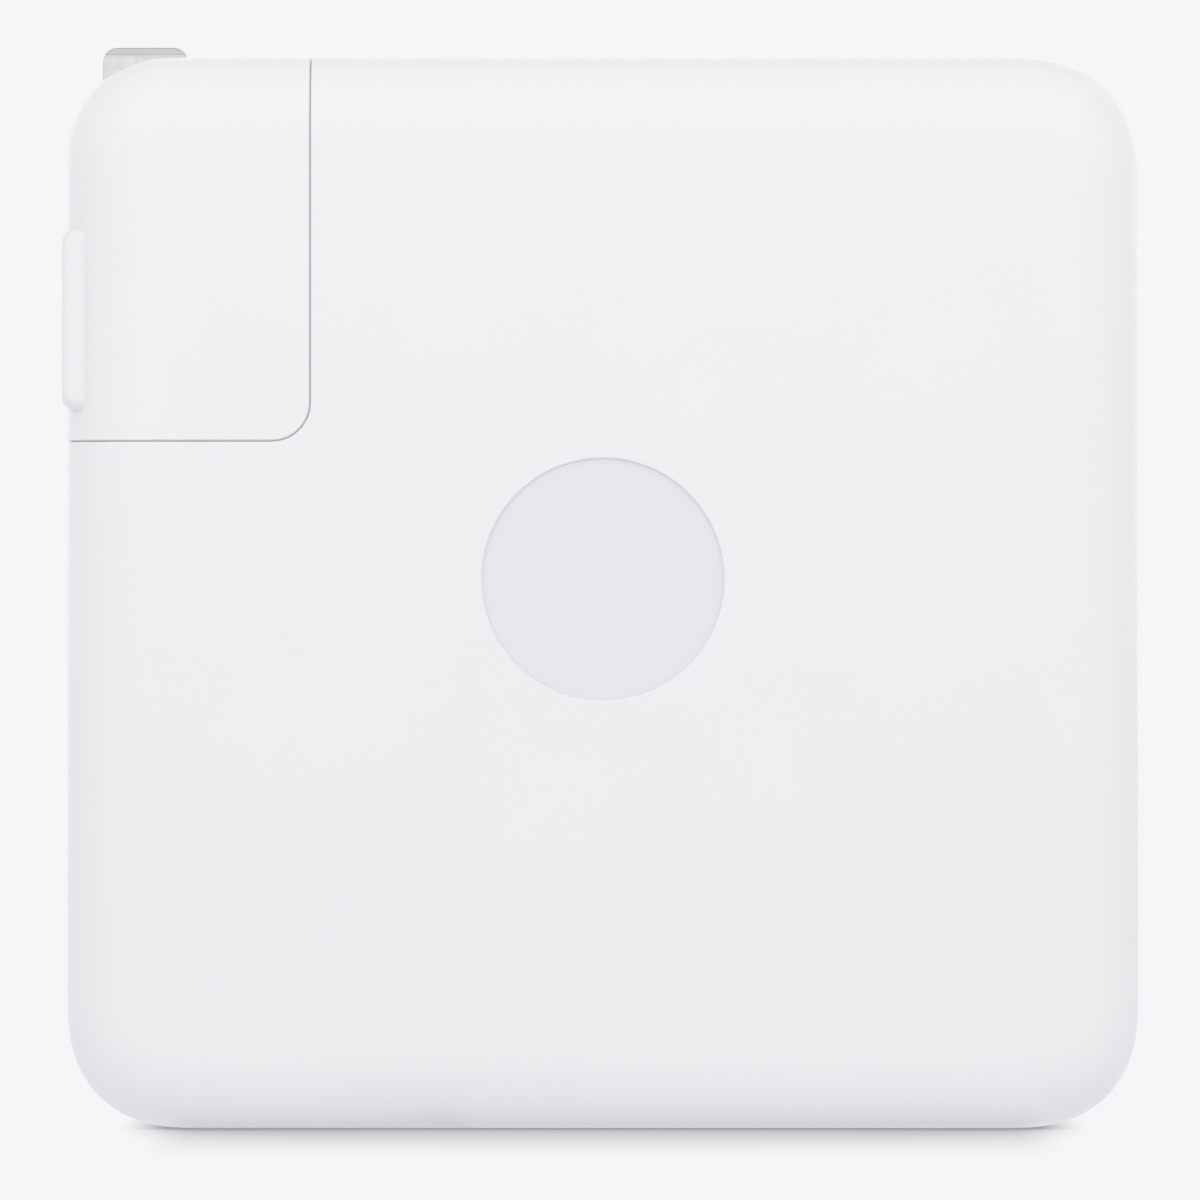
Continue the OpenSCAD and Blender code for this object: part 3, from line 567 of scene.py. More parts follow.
def half_block(outline, path, rows, inset, r, rebate=(0, 0)):
    """Faces of the front half of a soft block, whose edge along the seam is rounded by r."""
    first, last = outline(inset)[0], outline(inset)[-1]
    line = path()
    edge = (r, rebate)
    side = [[on_surface(s, row, inset) for s in outline(inset + r + rebate[0])] for row in rows]
    seam = [seam_at(last, row, line[0][1], inset, *edge) for row in rows]
    for p, w in line[1:-1]:
        seam.append(seam_round(deep(p - w * inset, inset - HALF_T), -Y, w, *edge))
    seam += [seam_at(first, row, line[-1][1], inset, *edge) for row in reversed(rows)]
    n = len(rows)
    wall = [s[-1] for s in seam]
    middle = [Vector((p.x, rows[0][1], p.z)) for p in wall[n:-n]]
    faces = grid(side) + grid(seam) + grid([wall[n:-n], middle])
    faces.append(side[-1] + [s[0] for s in seam[n:-n]])
    faces.append(wall[: n + 1] + middle[:1])
    faces.append(middle[-1:] + wall[-n - 1 :])
    return faces


def ring(outline, path, row, inset, r=0):
    """Closed loop round one half of the housing at one depth, on the surface or in the wall."""
    line = path()
    loop = [on_surface(s, row, inset) for s in outline(inset + r)]
    loop += seam_at(outline(inset)[-1], row, line[0][1], inset, r)
    loop += [deep(p - w * inset, row[1]) for p, w in line[1:-1]]
    loop += seam_at(outline(inset)[0], row, line[-1][1], inset, r)[::-1]
    return loop


def housing_half(lip_y, step):
    """Front half of the housing: outer and inner skin, joined by the stepped lip. lip_y is where
    the inner part of the wall ends, and step how far in from the surface it starts."""
    shape = (housing_outline, housing_path)
    outer = (PARTING_CHAMFER, -PARTING_GAP, 1, 0)
    below = (0, -PARTING_GAP - PARTING_CHAMFER, 1, 0)
    lip = (0, lip_y, 1, 0)
    faces = half_block(*shape, edge_rows([outer, below]), 0, SEAM_ROUND)
    faces += half_block(*shape, edge_rows([lip]), WALL, 0)
    return faces + grid([
        ring(*shape, outer, 0, SEAM_ROUND),
        ring(*shape, (0, -PARTING_GAP, 1, 0), step),
        ring(*shape, lip, step),
        ring(*shape, lip, WALL),
    ])


# ---- Housing


def wall_cutters():
    """The openings that both halves of the housing share: port, inlet and stud."""
    through = WALL + PAST
    port = stadium_loop(PORT_W + 2 * PORT_GAP, PORT_T + 2 * PORT_GAP)
    inlet = eight_loop(INLET_R + FIT_GAP, INLET_WAIST + 2 * FIT_GAP)
    stud = circle_loop(STUD_SHANK_R + FIT_GAP)
    faces = rim_cutter(placed(port, Vector((RIGHT, 0, TOP / 2)), Y, Z, X), through, SOFT_ROUND)
    faces += rim_cutter(placed(inlet, Vector((NOSE_X, 0, NOTCH_Z)), X, Y, Z), through)
    return faces + rim_cutter(placed(stud, Vector((SEAM_X, 0, STUD_Z)), Y, Z, -X), through)


def make_front_shell():
    obj = solid("front_shell_form", housing_half(LIP_H, WALL / 2 + LIP_GAP))
    combine(obj, wall_cutters())
    badge = placed(circle_loop(BADGE_R), Vector((0, -HALF_T, BADGE_Z)), X, Z, -Y)
    return smooth(combine(obj, rim_cutter(badge, BADGE_DEPTH, BADGE_RIM, BADGE_FOOT)))


def make_rear_shell():
    obj = solid("rear_shell_form", mirrored(housing_half(-LIP_H - LIP_GAP, WALL / 2)))
    return smooth(combine(obj, wall_cutters()))


# ---- Plug


def slot_rim(y):
    """Shallow cutter that rounds the mouth of a blade's slot, round the plug's corner."""
    line = [s for s in plug_outline(0) if s[0].y > SLOT_END_Z and s[0].x < SLOT_END_X]
    line = [facing(LEFT, SLOT_END_Z, -1, 0)] + line + [facing(SLOT_END_X, TOP, 0, 1)]
    loop = []
    for s, points in ((-1, line), (1, line[::-1])):
        for p, n in points:
            end = -Z if p is line[0][0] else X if p is line[-1][0] else Vector()
            loop.append((deep(p, y + s * SLOT_HALF), s * Y + end, deep(n, 0)))
    levels = rim_levels(loop, RIM_DEPTH)
    n = len(line)
    ends = [grid([level[:n], level[: n - 1 : -1]]) for level in (levels[0], levels[-1])]
    return hoops(levels) + ends[0] + ends[1]


def slot_box(y):
    lo = (LEFT - PAST, y - SLOT_HALF, SLOT_END_Z)
    return box_faces(lo, (SLOT_END_X, y + SLOT_HALF, TOP + PAST))


def pad_rim(y):
    """Shallow cutter that rounds the slot's mouth in the wall pad."""
    top = PAD_HI.z + PAST
    corners = [(-1, SLOT_END_Z, -1), (1, SLOT_END_Z, -1), (1, top, 1), (-1, top, 1)]
    loop = [(Vector((PAD_X, y + s * SLOT_HALF, z)), s * Y + e * Z, -X) for s, z, e in corners]
    return rim_cutter(loop, RIM_DEPTH)


def drawn_in(depth):
    """How far the wall pad's front and rear ends draw in at a depth: a slight slope, then a
    round edge."""
    if depth < PAD_SLOPE[0]:
        return PAD_ROUND + PAD_SLOPE[1] * (1 - depth / PAD_SLOPE[0])
    left = max(0, 1 - (depth - PAD_SLOPE[0]) / PAD_ROUND)
    return PAD_ROUND * (1 - sqrt(1 - left * left))


def make_wall_pad():
    """The raised pad round the blades' slots, with tapered upper and lower ends."""
    centre, half = (PAD_LO + PAD_HI) / 2, (PAD_HI - PAD_LO) / 2
    loops = []
    for p, _ in quarter(*PAD_END, PAD_END_POWER, PAD_STEPS):
        depth = PAD_END[0] - p.x
        loop = rect_loop(half.y - drawn_in(depth), half.z - PAD_END[1] + p.y, PAD_CORNER)
        at = Vector((PAD_X + depth, 0, centre.z))
        loops.append([p for p, _, _ in placed(loop, at, Y, Z, X)])
    loops.append([Vector((PAD_HI.x, p.y, p.z)) for p in loops[-1]])
    pad = solid("wall_pad", capped(loops))
    for y in BLADE_YS:
        combine(pad, slot_box(y))
        combine(pad, pad_rim(y))
    return pad


def trough(y):
    """The block left out of the plug's cavity, which keeps a wall round a blade's slot."""
    half = SLOT_HALF + TROUGH_WALL
    return box_faces((LEFT, y - half, TROUGH_Z), (SLOT_END_X + TROUGH_WALL, y + half, TOP + PAST))


def make_plug_shell():
    rows = edge_rows([(0, 0, 1, 0)])
    outer = half_block(plug_outline, plug_path, rows, 0, REBATE_ROUND, REBATE)
    inner = half_block(plug_outline, plug_path, rows, PLUG_WALL, 0)
    obj = solid("plug_shell_form", outer + mirrored(outer))
    cavity = solid("cavity", inner + mirrored(inner))
    for y in BLADE_YS:
        combine(obj, slot_rim(y))
        combine(cavity, trough(y))
    merge(obj, make_wall_pad(), "UNION")
    merge(obj, cavity, "DIFFERENCE")
    lo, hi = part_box("stud_guide")
    hole_lo = (lo.x - FIT_GAP, lo.y - FIT_GAP, PLUG_FLOOR - PAST)
    hole_hi = (PLUG_RIGHT + PAST, hi.y + FIT_GAP, hi.z + FIT_GAP)
    nose = eight_loop(NOSE_R + FIT_GAP, NOSE_WAIST + 2 * FIT_GAP)
    nose = placed(nose, Vector((NOSE_X, 0, PLUG_FLOOR_Z)), X, Y, -Z)
    cuts = slot_box(BLADE_YS[0]) + slot_box(BLADE_YS[1]) + box_faces(hole_lo, hole_hi)
    return smooth(combine(obj, cuts + rim_cutter(nose, PLUG_WALL + PAST)))


# ---- Blades


def make_blade(name, y):
    """A flat blade with its tail, bevelled and rounded at the tip."""
    lo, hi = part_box(name)
    half, reach = BLADE_W / 2, hi.z - HINGE.z
    tip = arc(Vector((half - TIP_R, reach - TIP_R)), TIP_R, 0, pi / 2, TIP_STEPS)
    right = [(TAIL_W / 2, lo.z - HINGE.z), (TAIL_W / 2, BLADE_ROOT), (half, BLADE_ROOT)]
    right = [Vector(p) for p in right] + [p for p, _ in tip]
    outline = right + [Vector((-p.x, p.y)) for p in reversed(right)]
    loops = [[HINGE + deep(p, y + s * BLADE_T / 2) for p in outline] for s in (-1, 1)]
    obj = solid(name + "_form", capped(loops))
    bm = bmesh.new()
    bm.from_mesh(obj.data)
    for s in (-1, 1):
        edge = HINGE + Vector((0, y + s * BLADE_T / 2, reach - TIP_BEVEL))
        normal = Vector((0, s * TIP_BEVEL, TIP_BEVEL_DEPTH))
        geom = bm.verts[:] + bm.edges[:] + bm.faces[:]
        cut = bmesh.ops.bisect_plane(
            bm, geom=geom, dist=ON_PLANE, plane_co=edge, plane_no=normal, clear_outer=True
        )
        rim = [e for e in cut["geom_cut"] if isinstance(e, bmesh.types.BMEdge)]
        bmesh.ops.contextual_create(bm, geom=rim)
    bmesh.ops.recalc_face_normals(bm, faces=bm.faces)
    bm.to_mesh(obj.data)
    bm.free()
    soften(obj, BLADE_ROUND, segments=3, angle=30)
    return smooth(apply_modifiers(obj), angle=18)


# ---- Stud, inlet, nose and port


def foot_of(name):
    """The place under the middle of a node, in the middle plane."""
    lo, _, mid, _ = measures(name)
    return Vector((mid.x, 0, lo.z))


def pin_places(name):
    """The places of the two mains pins at the foot of a node."""
    return [foot_of(name) + y * Y for y in (-PIN_PITCH / 2, PIN_PITCH / 2)]


def make_stud():
    """A turned stud: head, neck, shank and inner flange."""
    lo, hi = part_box("locking_stud")
    head, flange = lo.x - SEAM_X, hi.x - SEAM_X
    under = head + STUD_HEAD_T
    cap = [(STUD_NECK_R, head), (STUD_HEAD_R, head), (STUD_HEAD_R, under), (STUD_NECK_R, under)]
    rest = [(STUD_NECK_R, under), (STUD_NECK_R, 0), (STUD_SHANK_R, 0), (STUD_SHANK_R, WALL)]
    rest += [(STUD_FLANGE_R, WALL), (STUD_FLANGE_R, flange), (STUD_NECK_R, flange)]
    profile = filleted(cap, SOFT_ROUND) + filleted(rest, FINE_ROUND)
    return form("locking_stud", turned([Vector((SEAM_X, 0, STUD_Z))], X, profile))


def make_pins():
    size = measures("mains_pins")[3]
    foot_flat, tip_flat = 0.5 * PIN_R, 0.4 * PIN_R
    foot = filleted([(foot_flat, 0), (PIN_R, 0), (PIN_R, size.z / 2)], PIN_FOOT_ROUND)
    tip = filleted([(PIN_R, size.z / 2), (PIN_R, size.z), (tip_flat, size.z)], PIN_TIP_ROUND)
    return form("mains_pins", turned(pin_places("mains_pins"), Z, foot + tip))


def make_sleeves():
    size = measures("contact_sleeves")[3]
    tube = section(size.x / 2 - SLEEVE_T, size.x / 2, 0, size.z, RIM)
    return form("contact_sleeves", turned(pin_places("contact_sleeves"), Z, tube, lofted_ring))


def make_nose():
    """The plug's figure-eight spigot, with a flange inside the plug and a bore for each sleeve."""
    lo, _, _, size = measures("plug_nose")
    seat, top, flange = PLUG_FLOOR + PLUG_WALL - lo.z, size.z, size.x / 2 - NOSE_R
    loop = placed(eight_loop(NOSE_R, NOSE_WAIST), foot_of("plug_nose"), X, Y, Z)
    profile = [(-NOSE_FOOT, 0), (0, 0), (0, seat), (flange, seat), (flange, top), (0, top)]
    obj = solid("plug_nose_form", lofted(loop, filleted(profile, SOFT_ROUND)))
    bore = circle_loop(measures("contact_sleeves")[3].x / 2 + BORE_GAP)
    for place in pin_places("plug_nose"):
        combine(obj, rim_cutter(placed(bore, place, X, Y, -Z), top + PAST, BORE_RIM))
    return smooth(obj)


def make_inlet():
    """The insulating block under the corner's floor, with its well and the pins' holes."""
    lo, hi, _, size = measures("mains_inlet")
    centre = foot_of("mains_inlet")
    soft, height, top = INLET_ROUND, NOTCH_Z - WALL - lo.z, size.z
    loop = placed(rect_loop(size.x / 2, size.y / 2, 2 * soft), centre, X, Y, Z)
    obj = solid("mains_inlet_form", slab(loop, height, soft))
    loop = placed(eight_loop(INLET_R, INLET_WAIST), centre, X, Y, Z)
    collar = filleted([(0, height - soft), (0, top), (-COLLAR_LIP, top)], RIM)
    combine(obj, lofted(loop, collar), "UNION")
    well = eight_loop(NOSE_R + NOSE_GAP, NOSE_WAIST + 2 * NOSE_GAP)
    mouth = placed(well, Vector((centre.x, 0, hi.z)), X, Y, Z)
    depth = hi.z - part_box("plug_nose")[0].z + WELL_GAP
    combine(obj, rim_cutter(mouth, depth, SOFT_ROUND, SOFT_ROUND))
    for place in pin_places("mains_inlet"):
        hole = placed(circle_loop(PIN_R + BORE_GAP), place, X, Y, -Z)
        combine(obj, rim_cutter(hole, top, PIN_HOLE_RIM))
    return smooth(obj)


def make_port_shell():
    """The steel tube of the USB-C socket, with a rolled mouth."""
    lo, _, _, size = measures("port_shell")
    loop = placed(stadium_loop(PORT_W, PORT_T), Vector((lo.x, 0, TOP / 2)), Y, Z, X)
    tube = section(-PORT_SHEET, 0, 0, size.x, PORT_ROUND)
    return form("port_shell", lofted_ring(loop, tube))


def make_tongue():
    """The socket's root block and its tongue with rounded front corners."""
    lo, _, mid, size = measures("port_tongue")
    loop = placed(stadium_loop(size.z, size.y), Vector((lo.x, 0, TOP / 2)), Y, Z, X)
    centre = Vector((mid.x, 0, TOP / 2))
    half = Vector((size.x / 2, TONGUE_T / 2, TONGUE_W / 2))
    tongue = soft_block(centre - half, centre + half, TONGUE_CORNER, RIM)
    return form("port_tongue", slab(loop, TONGUE_ROOT, FINE_ROUND) + tongue)


# ---- Parts on the main board


def make_bulk_capacitors():
    """Two sleeved cans that lie on the board, each with a crimp groove and an open end."""
    lo, hi, mid, size = measures("bulk_capacitors")
    r, length = size.y / 2, size.x
    near, far, sunk, bend = mm(2.6, 3.8, 0.3, 0.22)
    waist, lip, hub = 0.92 * r, 0.87 * r, 0.5 * r
    profile = [(lip, 0), (r, 0), (r, near), (waist, (near + far) / 2), (r, far), (r, length)]
    profile += [(lip, length), (lip, length - sunk), (hub, length - sunk)]
    places = [Vector((lo.x, mid.y, z)) for z in (lo.z + r, hi.z - r)]
    return form("bulk_capacitors", turned(places, X, filleted(profile, bend)))


def make_output_capacitors():
    """Three bare cans that stand on the board, each with a crimp groove."""
    lo, hi, mid, size = measures("output_capacitors")
    r, height = size.x / 2, size.y
    near, far, dip, bend = mm(0.9, 1.7, 0.15, 0.2)
    waist, lip, hub = 0.9 * r, 0.75 * r, 0.7 * r
    profile = [(hub, 0), (r, 0), (r, near), (waist, (near + far) / 2), (r, far), (r, height)]
    profile += [(lip, height), (hub, height - dip)]
    places = [Vector((mid.x, hi.y, z)) for z in (lo.z + r, mid.z, hi.z - r)]
    return form("output_capacitors", turned(places, -Y, filleted(profile, bend)))


def make_choke_core():
    _, hi, mid, size = measures("choke_core")
    core = section(CHOKE_BORE_R, size.x / 2, 0, size.y, CHOKE_ROUND)
    return form("choke_core", turned([Vector((mid.x, hi.y, mid.z))], -Y, core, lofted_ring))


def make_choke_windings():
    """Two coils of enamelled wire on the ring core, whose ends go down to the board."""
    _, _, centre, size = measures("choke_core")
    floor_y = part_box("choke_windings")[1].y
    inner, outer = CHOKE_BORE_R - WIRE_R, size.x / 2 + WIRE_R
    half_y = size.y / 2 + WIRE_R
    loop = [p for p, _ in rect_loop((outer - inner) / 2, half_y, COIL_CORNER)]
    lengths = [(b - a).length for a, b in zip(loop, loop[1:] + loop[:1])]
    faces = []
    for side in (0, pi):
        path, walked = [], 0
        for p, step in list(zip(loop, lengths)) * CHOKE_TURNS:
            turn = walked / sum(lengths) - CHOKE_TURNS / 2
            angle = side + pi / 2 + turn * CHOKE_STEP
            out = (inner + outer) / 2 + p.x
            path.append(centre + Vector((out * cos(angle), p.y, out * sin(angle))))
            walked += step
        ends = [Vector((p.x, floor_y, p.z)) for p in (path[0], path[-1])]
        faces += wire(ends[:1] + path + ends[1:], WIRE_R, sides=10)
    return form("choke_windings", faces)


def make_transformer_winding():
    """The taped winding between the two flanges of its bobbin."""
    lo, _, mid, size = measures("transformer_winding")
    flange, sunk, corner_r, bend = mm(0.9, 0.5, 1.6, 0.15)
    height = size.z
    at = Vector((mid.x, mid.y, lo.z))
    loop = placed(rect_loop(size.x / 2, size.y / 2, corner_r), at, X, Y, Z)
    profile = [(-sunk, 0), (0, 0), (0, flange), (-sunk, flange), (-sunk, height - flange)]
    profile += [(0, height - flange), (0, height), (-sunk, height)]
    return form("transformer_winding", lofted(loop, filleted(profile, bend)))


def make_square_inductor(name, groove):
    """A square moulded inductor with the ring of its core showing on top."""
    lo, hi, mid, size = measures(name)
    corner_r, core_r, bend = 0.14 * size.x, 0.4 * size.x, 0.2 * groove
    obj = solid(name + "_form", soft_block(lo, hi, corner_r, INDUCTOR_EDGE))
    cut = section(core_r - groove, core_r, -groove, PAST, bend)
    cut = turned([Vector((mid.x, lo.y, mid.z))], -Y, cut, lofted_ring)
    return smooth(combine(obj, cut))


def make_legs(name, feet, length, r):
    """Round legs that rise from their feet on the board."""
    faces = [face for foot in feet for face in wire([foot, foot - Y * length], r)]
    return form(name, faces, "_legs")


def make_legged(name, parts, lift, corner_r, edge, leg_r):
    """A moulded body held above the board by round legs at the given parts of its length."""
    lo, hi, mid, size = measures(name)
    body = form(name, soft_block(lo, hi - lift * Y, corner_r, edge))
    feet = [Vector((lo.x + part * size.x, hi.y, mid.z)) for part in parts]
    return body, make_legs(name, feet, lift + edge, leg_r)


def make_disc_capacitor():
    """A dipped disc on two wires."""
    name = "safety_capacitor"
    lo, hi, mid, size = measures(name)
    margin, lift, bend, lead_r = mm(0.5, 1, 0.35, 0.3)
    r, thick = size.z / 2 - margin, size.x
    half = [(0.45 * r, 0.1 * thick), (0.6 * r, 0.1 * thick), (r, 0.25 * thick)]
    profile = filleted(half + [(d, thick - h) for d, h in reversed(half)], bend)
    body = form(name, turned([Vector((lo.x, hi.y - lift - r, mid.z))], X, profile))
    feet = [Vector((mid.x, hi.y, mid.z + side * 0.6 * r)) for side in (-1, 1)]
    return body, make_legs(name, feet, lift + 0.4 * r, lead_r)


def chip_leg(x, z, out, lo_y, rise, reach, width):
    """A bent leg from the side of a chip to its foot, whose end lies at z."""
    thick, bend, foot = mm(0.15, 0.1, 0.08)
    bends = [(1.3, rise), (0.5, rise), (0.4, foot), (0, foot)]
    line = [(z - out * part * reach, height) for part, height in bends]
    path = [Vector((x, lo_y - p.y, p.x)) for p in filleted(line, bend, steps=3)]
    return ribbon(path, X, width, thick)


def make_chips(name, count, rows, rise, leg_w):
    """Chips in a row: moulded bodies with a dimple, and bent legs on two sides."""
    lo, hi, _, size = measures(name)
    side, step = size.z, (size.x - size.z) / (count - 1)
    reach = 0.12 * side
    lift, dot_r, in_by = mm(0.1, 0.3, 0.8)
    bodies, dimples, legs = [], [], []
    for i in range(count):
        x = lo.x + i * step
        body_lo = Vector((x, lo.y, lo.z + reach))
        body_hi = Vector((x + side, hi.y - lift, hi.z - reach))
        bodies += soft_block(body_lo, body_hi, *mm(0.15, 0.12))
        dot = Vector((x + in_by, lo.y, body_hi.z - in_by))
        dimples += rim_cutter(placed(circle_loop(dot_r), dot, X, Z, -Y), *mm(0.1, 0.04, 0.03))
        for k in range(rows):
            at = x + side * (k + 0.5) / rows
            legs += chip_leg(at, lo.z, -1, hi.y, rise, reach, leg_w)
            legs += chip_leg(at, hi.z, 1, hi.y, rise, reach, leg_w)
    obj = combine(solid(name + "_form", bodies), dimples)
    return smooth(obj), form(name, legs, "_legs")


# ---- Materials

TINT_GRAIN = 6 * MM
GLOSS_GRAIN = 2 * MM
NOISE_DETAIL = 3
IOR = 1.5
NOISE_MIDDLE = (0.3, 0.7)
PLASTIC_GLOSS = (0.9, 1.1)
METAL_GLOSS = (0.75, 1.25)
METAL_TINT = 4
# Painted shade on the round recess's floor: its darker tone, and the heights above the floor over which it fades
# in.
BADGE_FLOOR_SHADE = (0.744, 0.738, 0.751)
BADGE_SHADE_FADE = mm(0.08, 0.04)
# Painted shade on the blades' tip bevels: their darker tone, and the height over which it fades in.
BEVEL_SHADE = (0.55, 0.543, 0.545)
BEVEL_SHADE_FADE = 0.02 * MM

# Two tones, roughness, and the surface's grain in millimetres and depth in metres.
PLASTICS = {
    "white_satin": ((0.73, 0.73, 0.725), (0.75, 0.75, 0.745), 0.4, 0.2, 2e-6),
    "inlet_plastic": ((0.66, 0.66, 0.66), (0.7, 0.7, 0.7), 0.42, 0.2, 2e-6),
    "taped_copper": ((0.72, 0.55, 0.1), (0.78, 0.62, 0.14), 0.35, 0.5, 8e-6),
    "sleeved_can": ((0.012, 0.012, 0.016), (0.02, 0.02, 0.026), 0.3, 1, 10e-6),
    "ferrite": ((0.022, 0.022, 0.025), (0.04, 0.04, 0.044), 0.62, 0.15, 6e-6),
    "blue_disc": ((0.02, 0.08, 0.3), (0.03, 0.11, 0.36), 0.35, 0.5, 15e-6),
    "film_case": ((0.66, 0.48, 0.05), (0.72, 0.54, 0.08), 0.4, 0.3, 3e-6),
    "fuse_case": ((0.06, 0.025, 0.014), (0.09, 0.04, 0.02), 0.4, 0.3, 3e-6),
    "black_resin": ((0.012, 0.012, 0.013), (0.022, 0.022, 0.023), 0.55, 0.1, 4e-6),
    "black_film": ((0.014, 0.014, 0.016), (0.02, 0.02, 0.022), 0.38, 2, 8e-6),
    "circuit_board": ((0.008, 0.07, 0.03), (0.014, 0.11, 0.05), 0.35, 0.4, 6e-6),
    "thermal_pad": ((0.24, 0.27, 0.29), (0.3, 0.33, 0.35), 0.75, 0.2, 10e-6),
}

# The same, with the stretch of the drawn or rolled lines before their depth.
METALS = {
    "nickel": ((0.73, 0.71, 0.675), (0.745, 0.725, 0.69), 0.26, 0.05, (1, 1, 0.3), 0.05e-6),
    "steel": ((0.56, 0.57, 0.58), (0.64, 0.65, 0.67), 0.3, 0.15, (0.1, 1, 1), 1e-6),
    "brass": ((0.72, 0.54, 0.24), (0.8, 0.62, 0.3), 0.3, 0.2, (1, 1, 0.1), 1e-6),
    "gold_plate": ((0.88, 0.66, 0.26), (0.93, 0.73, 0.33), 0.2, 0.05, (0.1, 1, 1), 0.5e-6),
    "copper": ((0.7, 0.38, 0.22), (0.8, 0.46, 0.28), 0.32, 0.2, (1, 0.1, 1), 1e-6),
    "aluminium_sheet": ((0.72, 0.73, 0.75), (0.8, 0.81, 0.83), 0.35, 0.2, (0.1, 1, 1), 1e-6),
    "bare_can": ((0.74, 0.75, 0.77), (0.82, 0.83, 0.85), 0.22, 0.15, (1, 0.1, 1), 0.6e-6),
}
GLOSS_WHITE = ((0.797, 0.791, 0.794), (0.803, 0.797, 0.8), 0.2, 0.7, 0.4e-6)
BLADE_NICKEL = ((0.58, 0.58, 0.557), (0.61, 0.61, 0.587), 0.24, 0.2, (1, 1, 0.08), 0.3e-6)


def node(tree, kind, inputs=(), **settings):
    """Adds a shader node, sets its inputs and links those that are sockets."""
    made = tree.nodes.new("ShaderNode" + kind)
    for key, value in settings.items():
        setattr(made, key, value)
    for key, value in dict(inputs).items():
        if isinstance(value, bpy.types.NodeSocket):
            tree.links.new(value, made.inputs[key])
        else:
            made.inputs[key].default_value = value
    return made


def calc(tree, operation, a, b=0.0):
    return node(tree, "Math", {0: a, 1: b}, operation=operation).outputs[0]


def times(tree, a, b):
    return calc(tree, "MULTIPLY", a, b)


def spread(tree, value, start, end, to_start=0.0, to_end=1.0, ease="SMOOTHSTEP"):
    """A value taken from one range to another, and held at its ends."""
    inputs = dict(enumerate((value, start, end, to_start, to_end)))
    return node(tree, "MapRange", inputs, interpolation_type=ease).outputs[0]


def object_place(tree):
    return node(tree, "TexCoord").outputs["Object"]


def new_material(name, color, roughness, metallic=0.0):
    mat = bpy.data.materials.new(name)
    mat.use_nodes = True
    shader = mat.node_tree.nodes["Principled BSDF"]
    looks = {"Base Color": (*color, 1), "Roughness": roughness, "Metallic": metallic, "IOR": IOR}
    for key, value in looks.items():
        shader.inputs[key].default_value = value
    return mat, mat.node_tree, shader


def noise_at(tree, grain, stretch=(1, 1, 1)):
    """Noise whose features are about one grain across, in metres, stretched along the axes."""
    inputs = {"Vector": object_place(tree), "Scale": stretch}
    place = node(tree, "Mapping", inputs).outputs["Vector"]
    inputs = {"Vector": place, "Scale": 0.5 / grain, "Detail": NOISE_DETAIL}
    return node(tree, "TexNoise", inputs).outputs["Fac"]


def ranged(tree, fac, low, high):
    """The middle of a noise spread from one value to another."""
    return spread(tree, fac, *NOISE_MIDDLE, low, high, ease="LINEAR")


def tinted(tree, shader, fac, low, high):
    """Base colour that varies between two colours with a noise."""
    inputs = {0: ranged(tree, fac, 0, 1), 6: (*low, 1), 7: (*high, 1)}
    mix = node(tree, "Mix", inputs, data_type="RGBA")
    tree.links.new(mix.outputs[2], shader.inputs["Base Color"])


def glossed(tree, shader, fac, roughness, swing):
    """Roughness that swings with a noise."""
    gloss = ranged(tree, fac, roughness * swing[0], roughness * swing[1])
    tree.links.new(gloss, shader.inputs["Roughness"])


def bumped(tree, shader, height, depth):
    """Bump of a real depth in metres."""
    bump = node(tree, "Bump", {"Height": height, "Distance": depth, "Strength": 1})
    tree.links.new(bump.outputs["Normal"], shader.inputs["Normal"])


def moulded(name, low, high, roughness, grain, depth):
    """Moulded plastic: a faint tint variation, an uneven gloss and a fine surface texture."""
    mat, tree, shader = new_material(name, high, roughness)
    tinted(tree, shader, noise_at(tree, TINT_GRAIN), low, high)
    glossed(tree, shader, noise_at(tree, GLOSS_GRAIN), roughness, PLASTIC_GLOSS)
    bumped(tree, shader, noise_at(tree, grain * MM), depth)
    return mat


def metal(name, low, high, roughness, grain, stretch, depth):
    """Metal with fine drawn or rolled lines along one axis."""
    mat, tree, shader = new_material(name, high, roughness, metallic=1.0)
    tinted(tree, shader, noise_at(tree, grain * MM * METAL_TINT), low, high)
    lines = noise_at(tree, grain * MM, stretch)
    glossed(tree, shader, lines, roughness, METAL_GLOSS)
    bumped(tree, shader, lines, depth)
    return mat


def parts_of(tree, vector):
    return node(tree, "SeparateXYZ", {"Vector": vector}).outputs


def mask_beyond(tree, axis, start, end):
    """1 beyond a place along one of the object's axes, 0 before it."""
    place = parts_of(tree, object_place(tree))
    return spread(tree, place[axis], start, end, ease="LINEAR")


def blend_color(tree, mask, color):
    """Mixes another colour into the material's base colour by a mask."""
    shader = tree.nodes["Principled BSDF"]
    base = shader.inputs["Base Color"].links[0].from_socket
    mix = node(tree, "Mix", {0: mask, 6: base, 7: (*color, 1)}, data_type="RGBA")
    tree.links.new(mix.outputs[2], shader.inputs["Base Color"])


def shell_plastic():
    """The shells' glossy plastic, with painted shade: a darker tone on the round recess's floor."""
    mat = moulded("white_gloss", *GLOSS_WHITE)
    tree = mat.node_tree
    floor_y = BADGE_DEPTH - HALF_T
    sunk = mask_beyond(tree, "Y", *(floor_y - lift for lift in BADGE_SHADE_FADE))
    inputs = {0: object_place(tree), 1: (0, floor_y, BADGE_Z)}
    away = node(tree, "VectorMath", inputs, operation="DISTANCE").outputs["Value"]
    inside = spread(tree, away, BADGE_R, BADGE_R + RIM, 1.0, 0.0, ease="LINEAR")
    # Painted shade: the recess floor's base colour is darkened.
    blend_color(tree, times(tree, sunk, inside), BADGE_FLOOR_SHADE)
    return mat


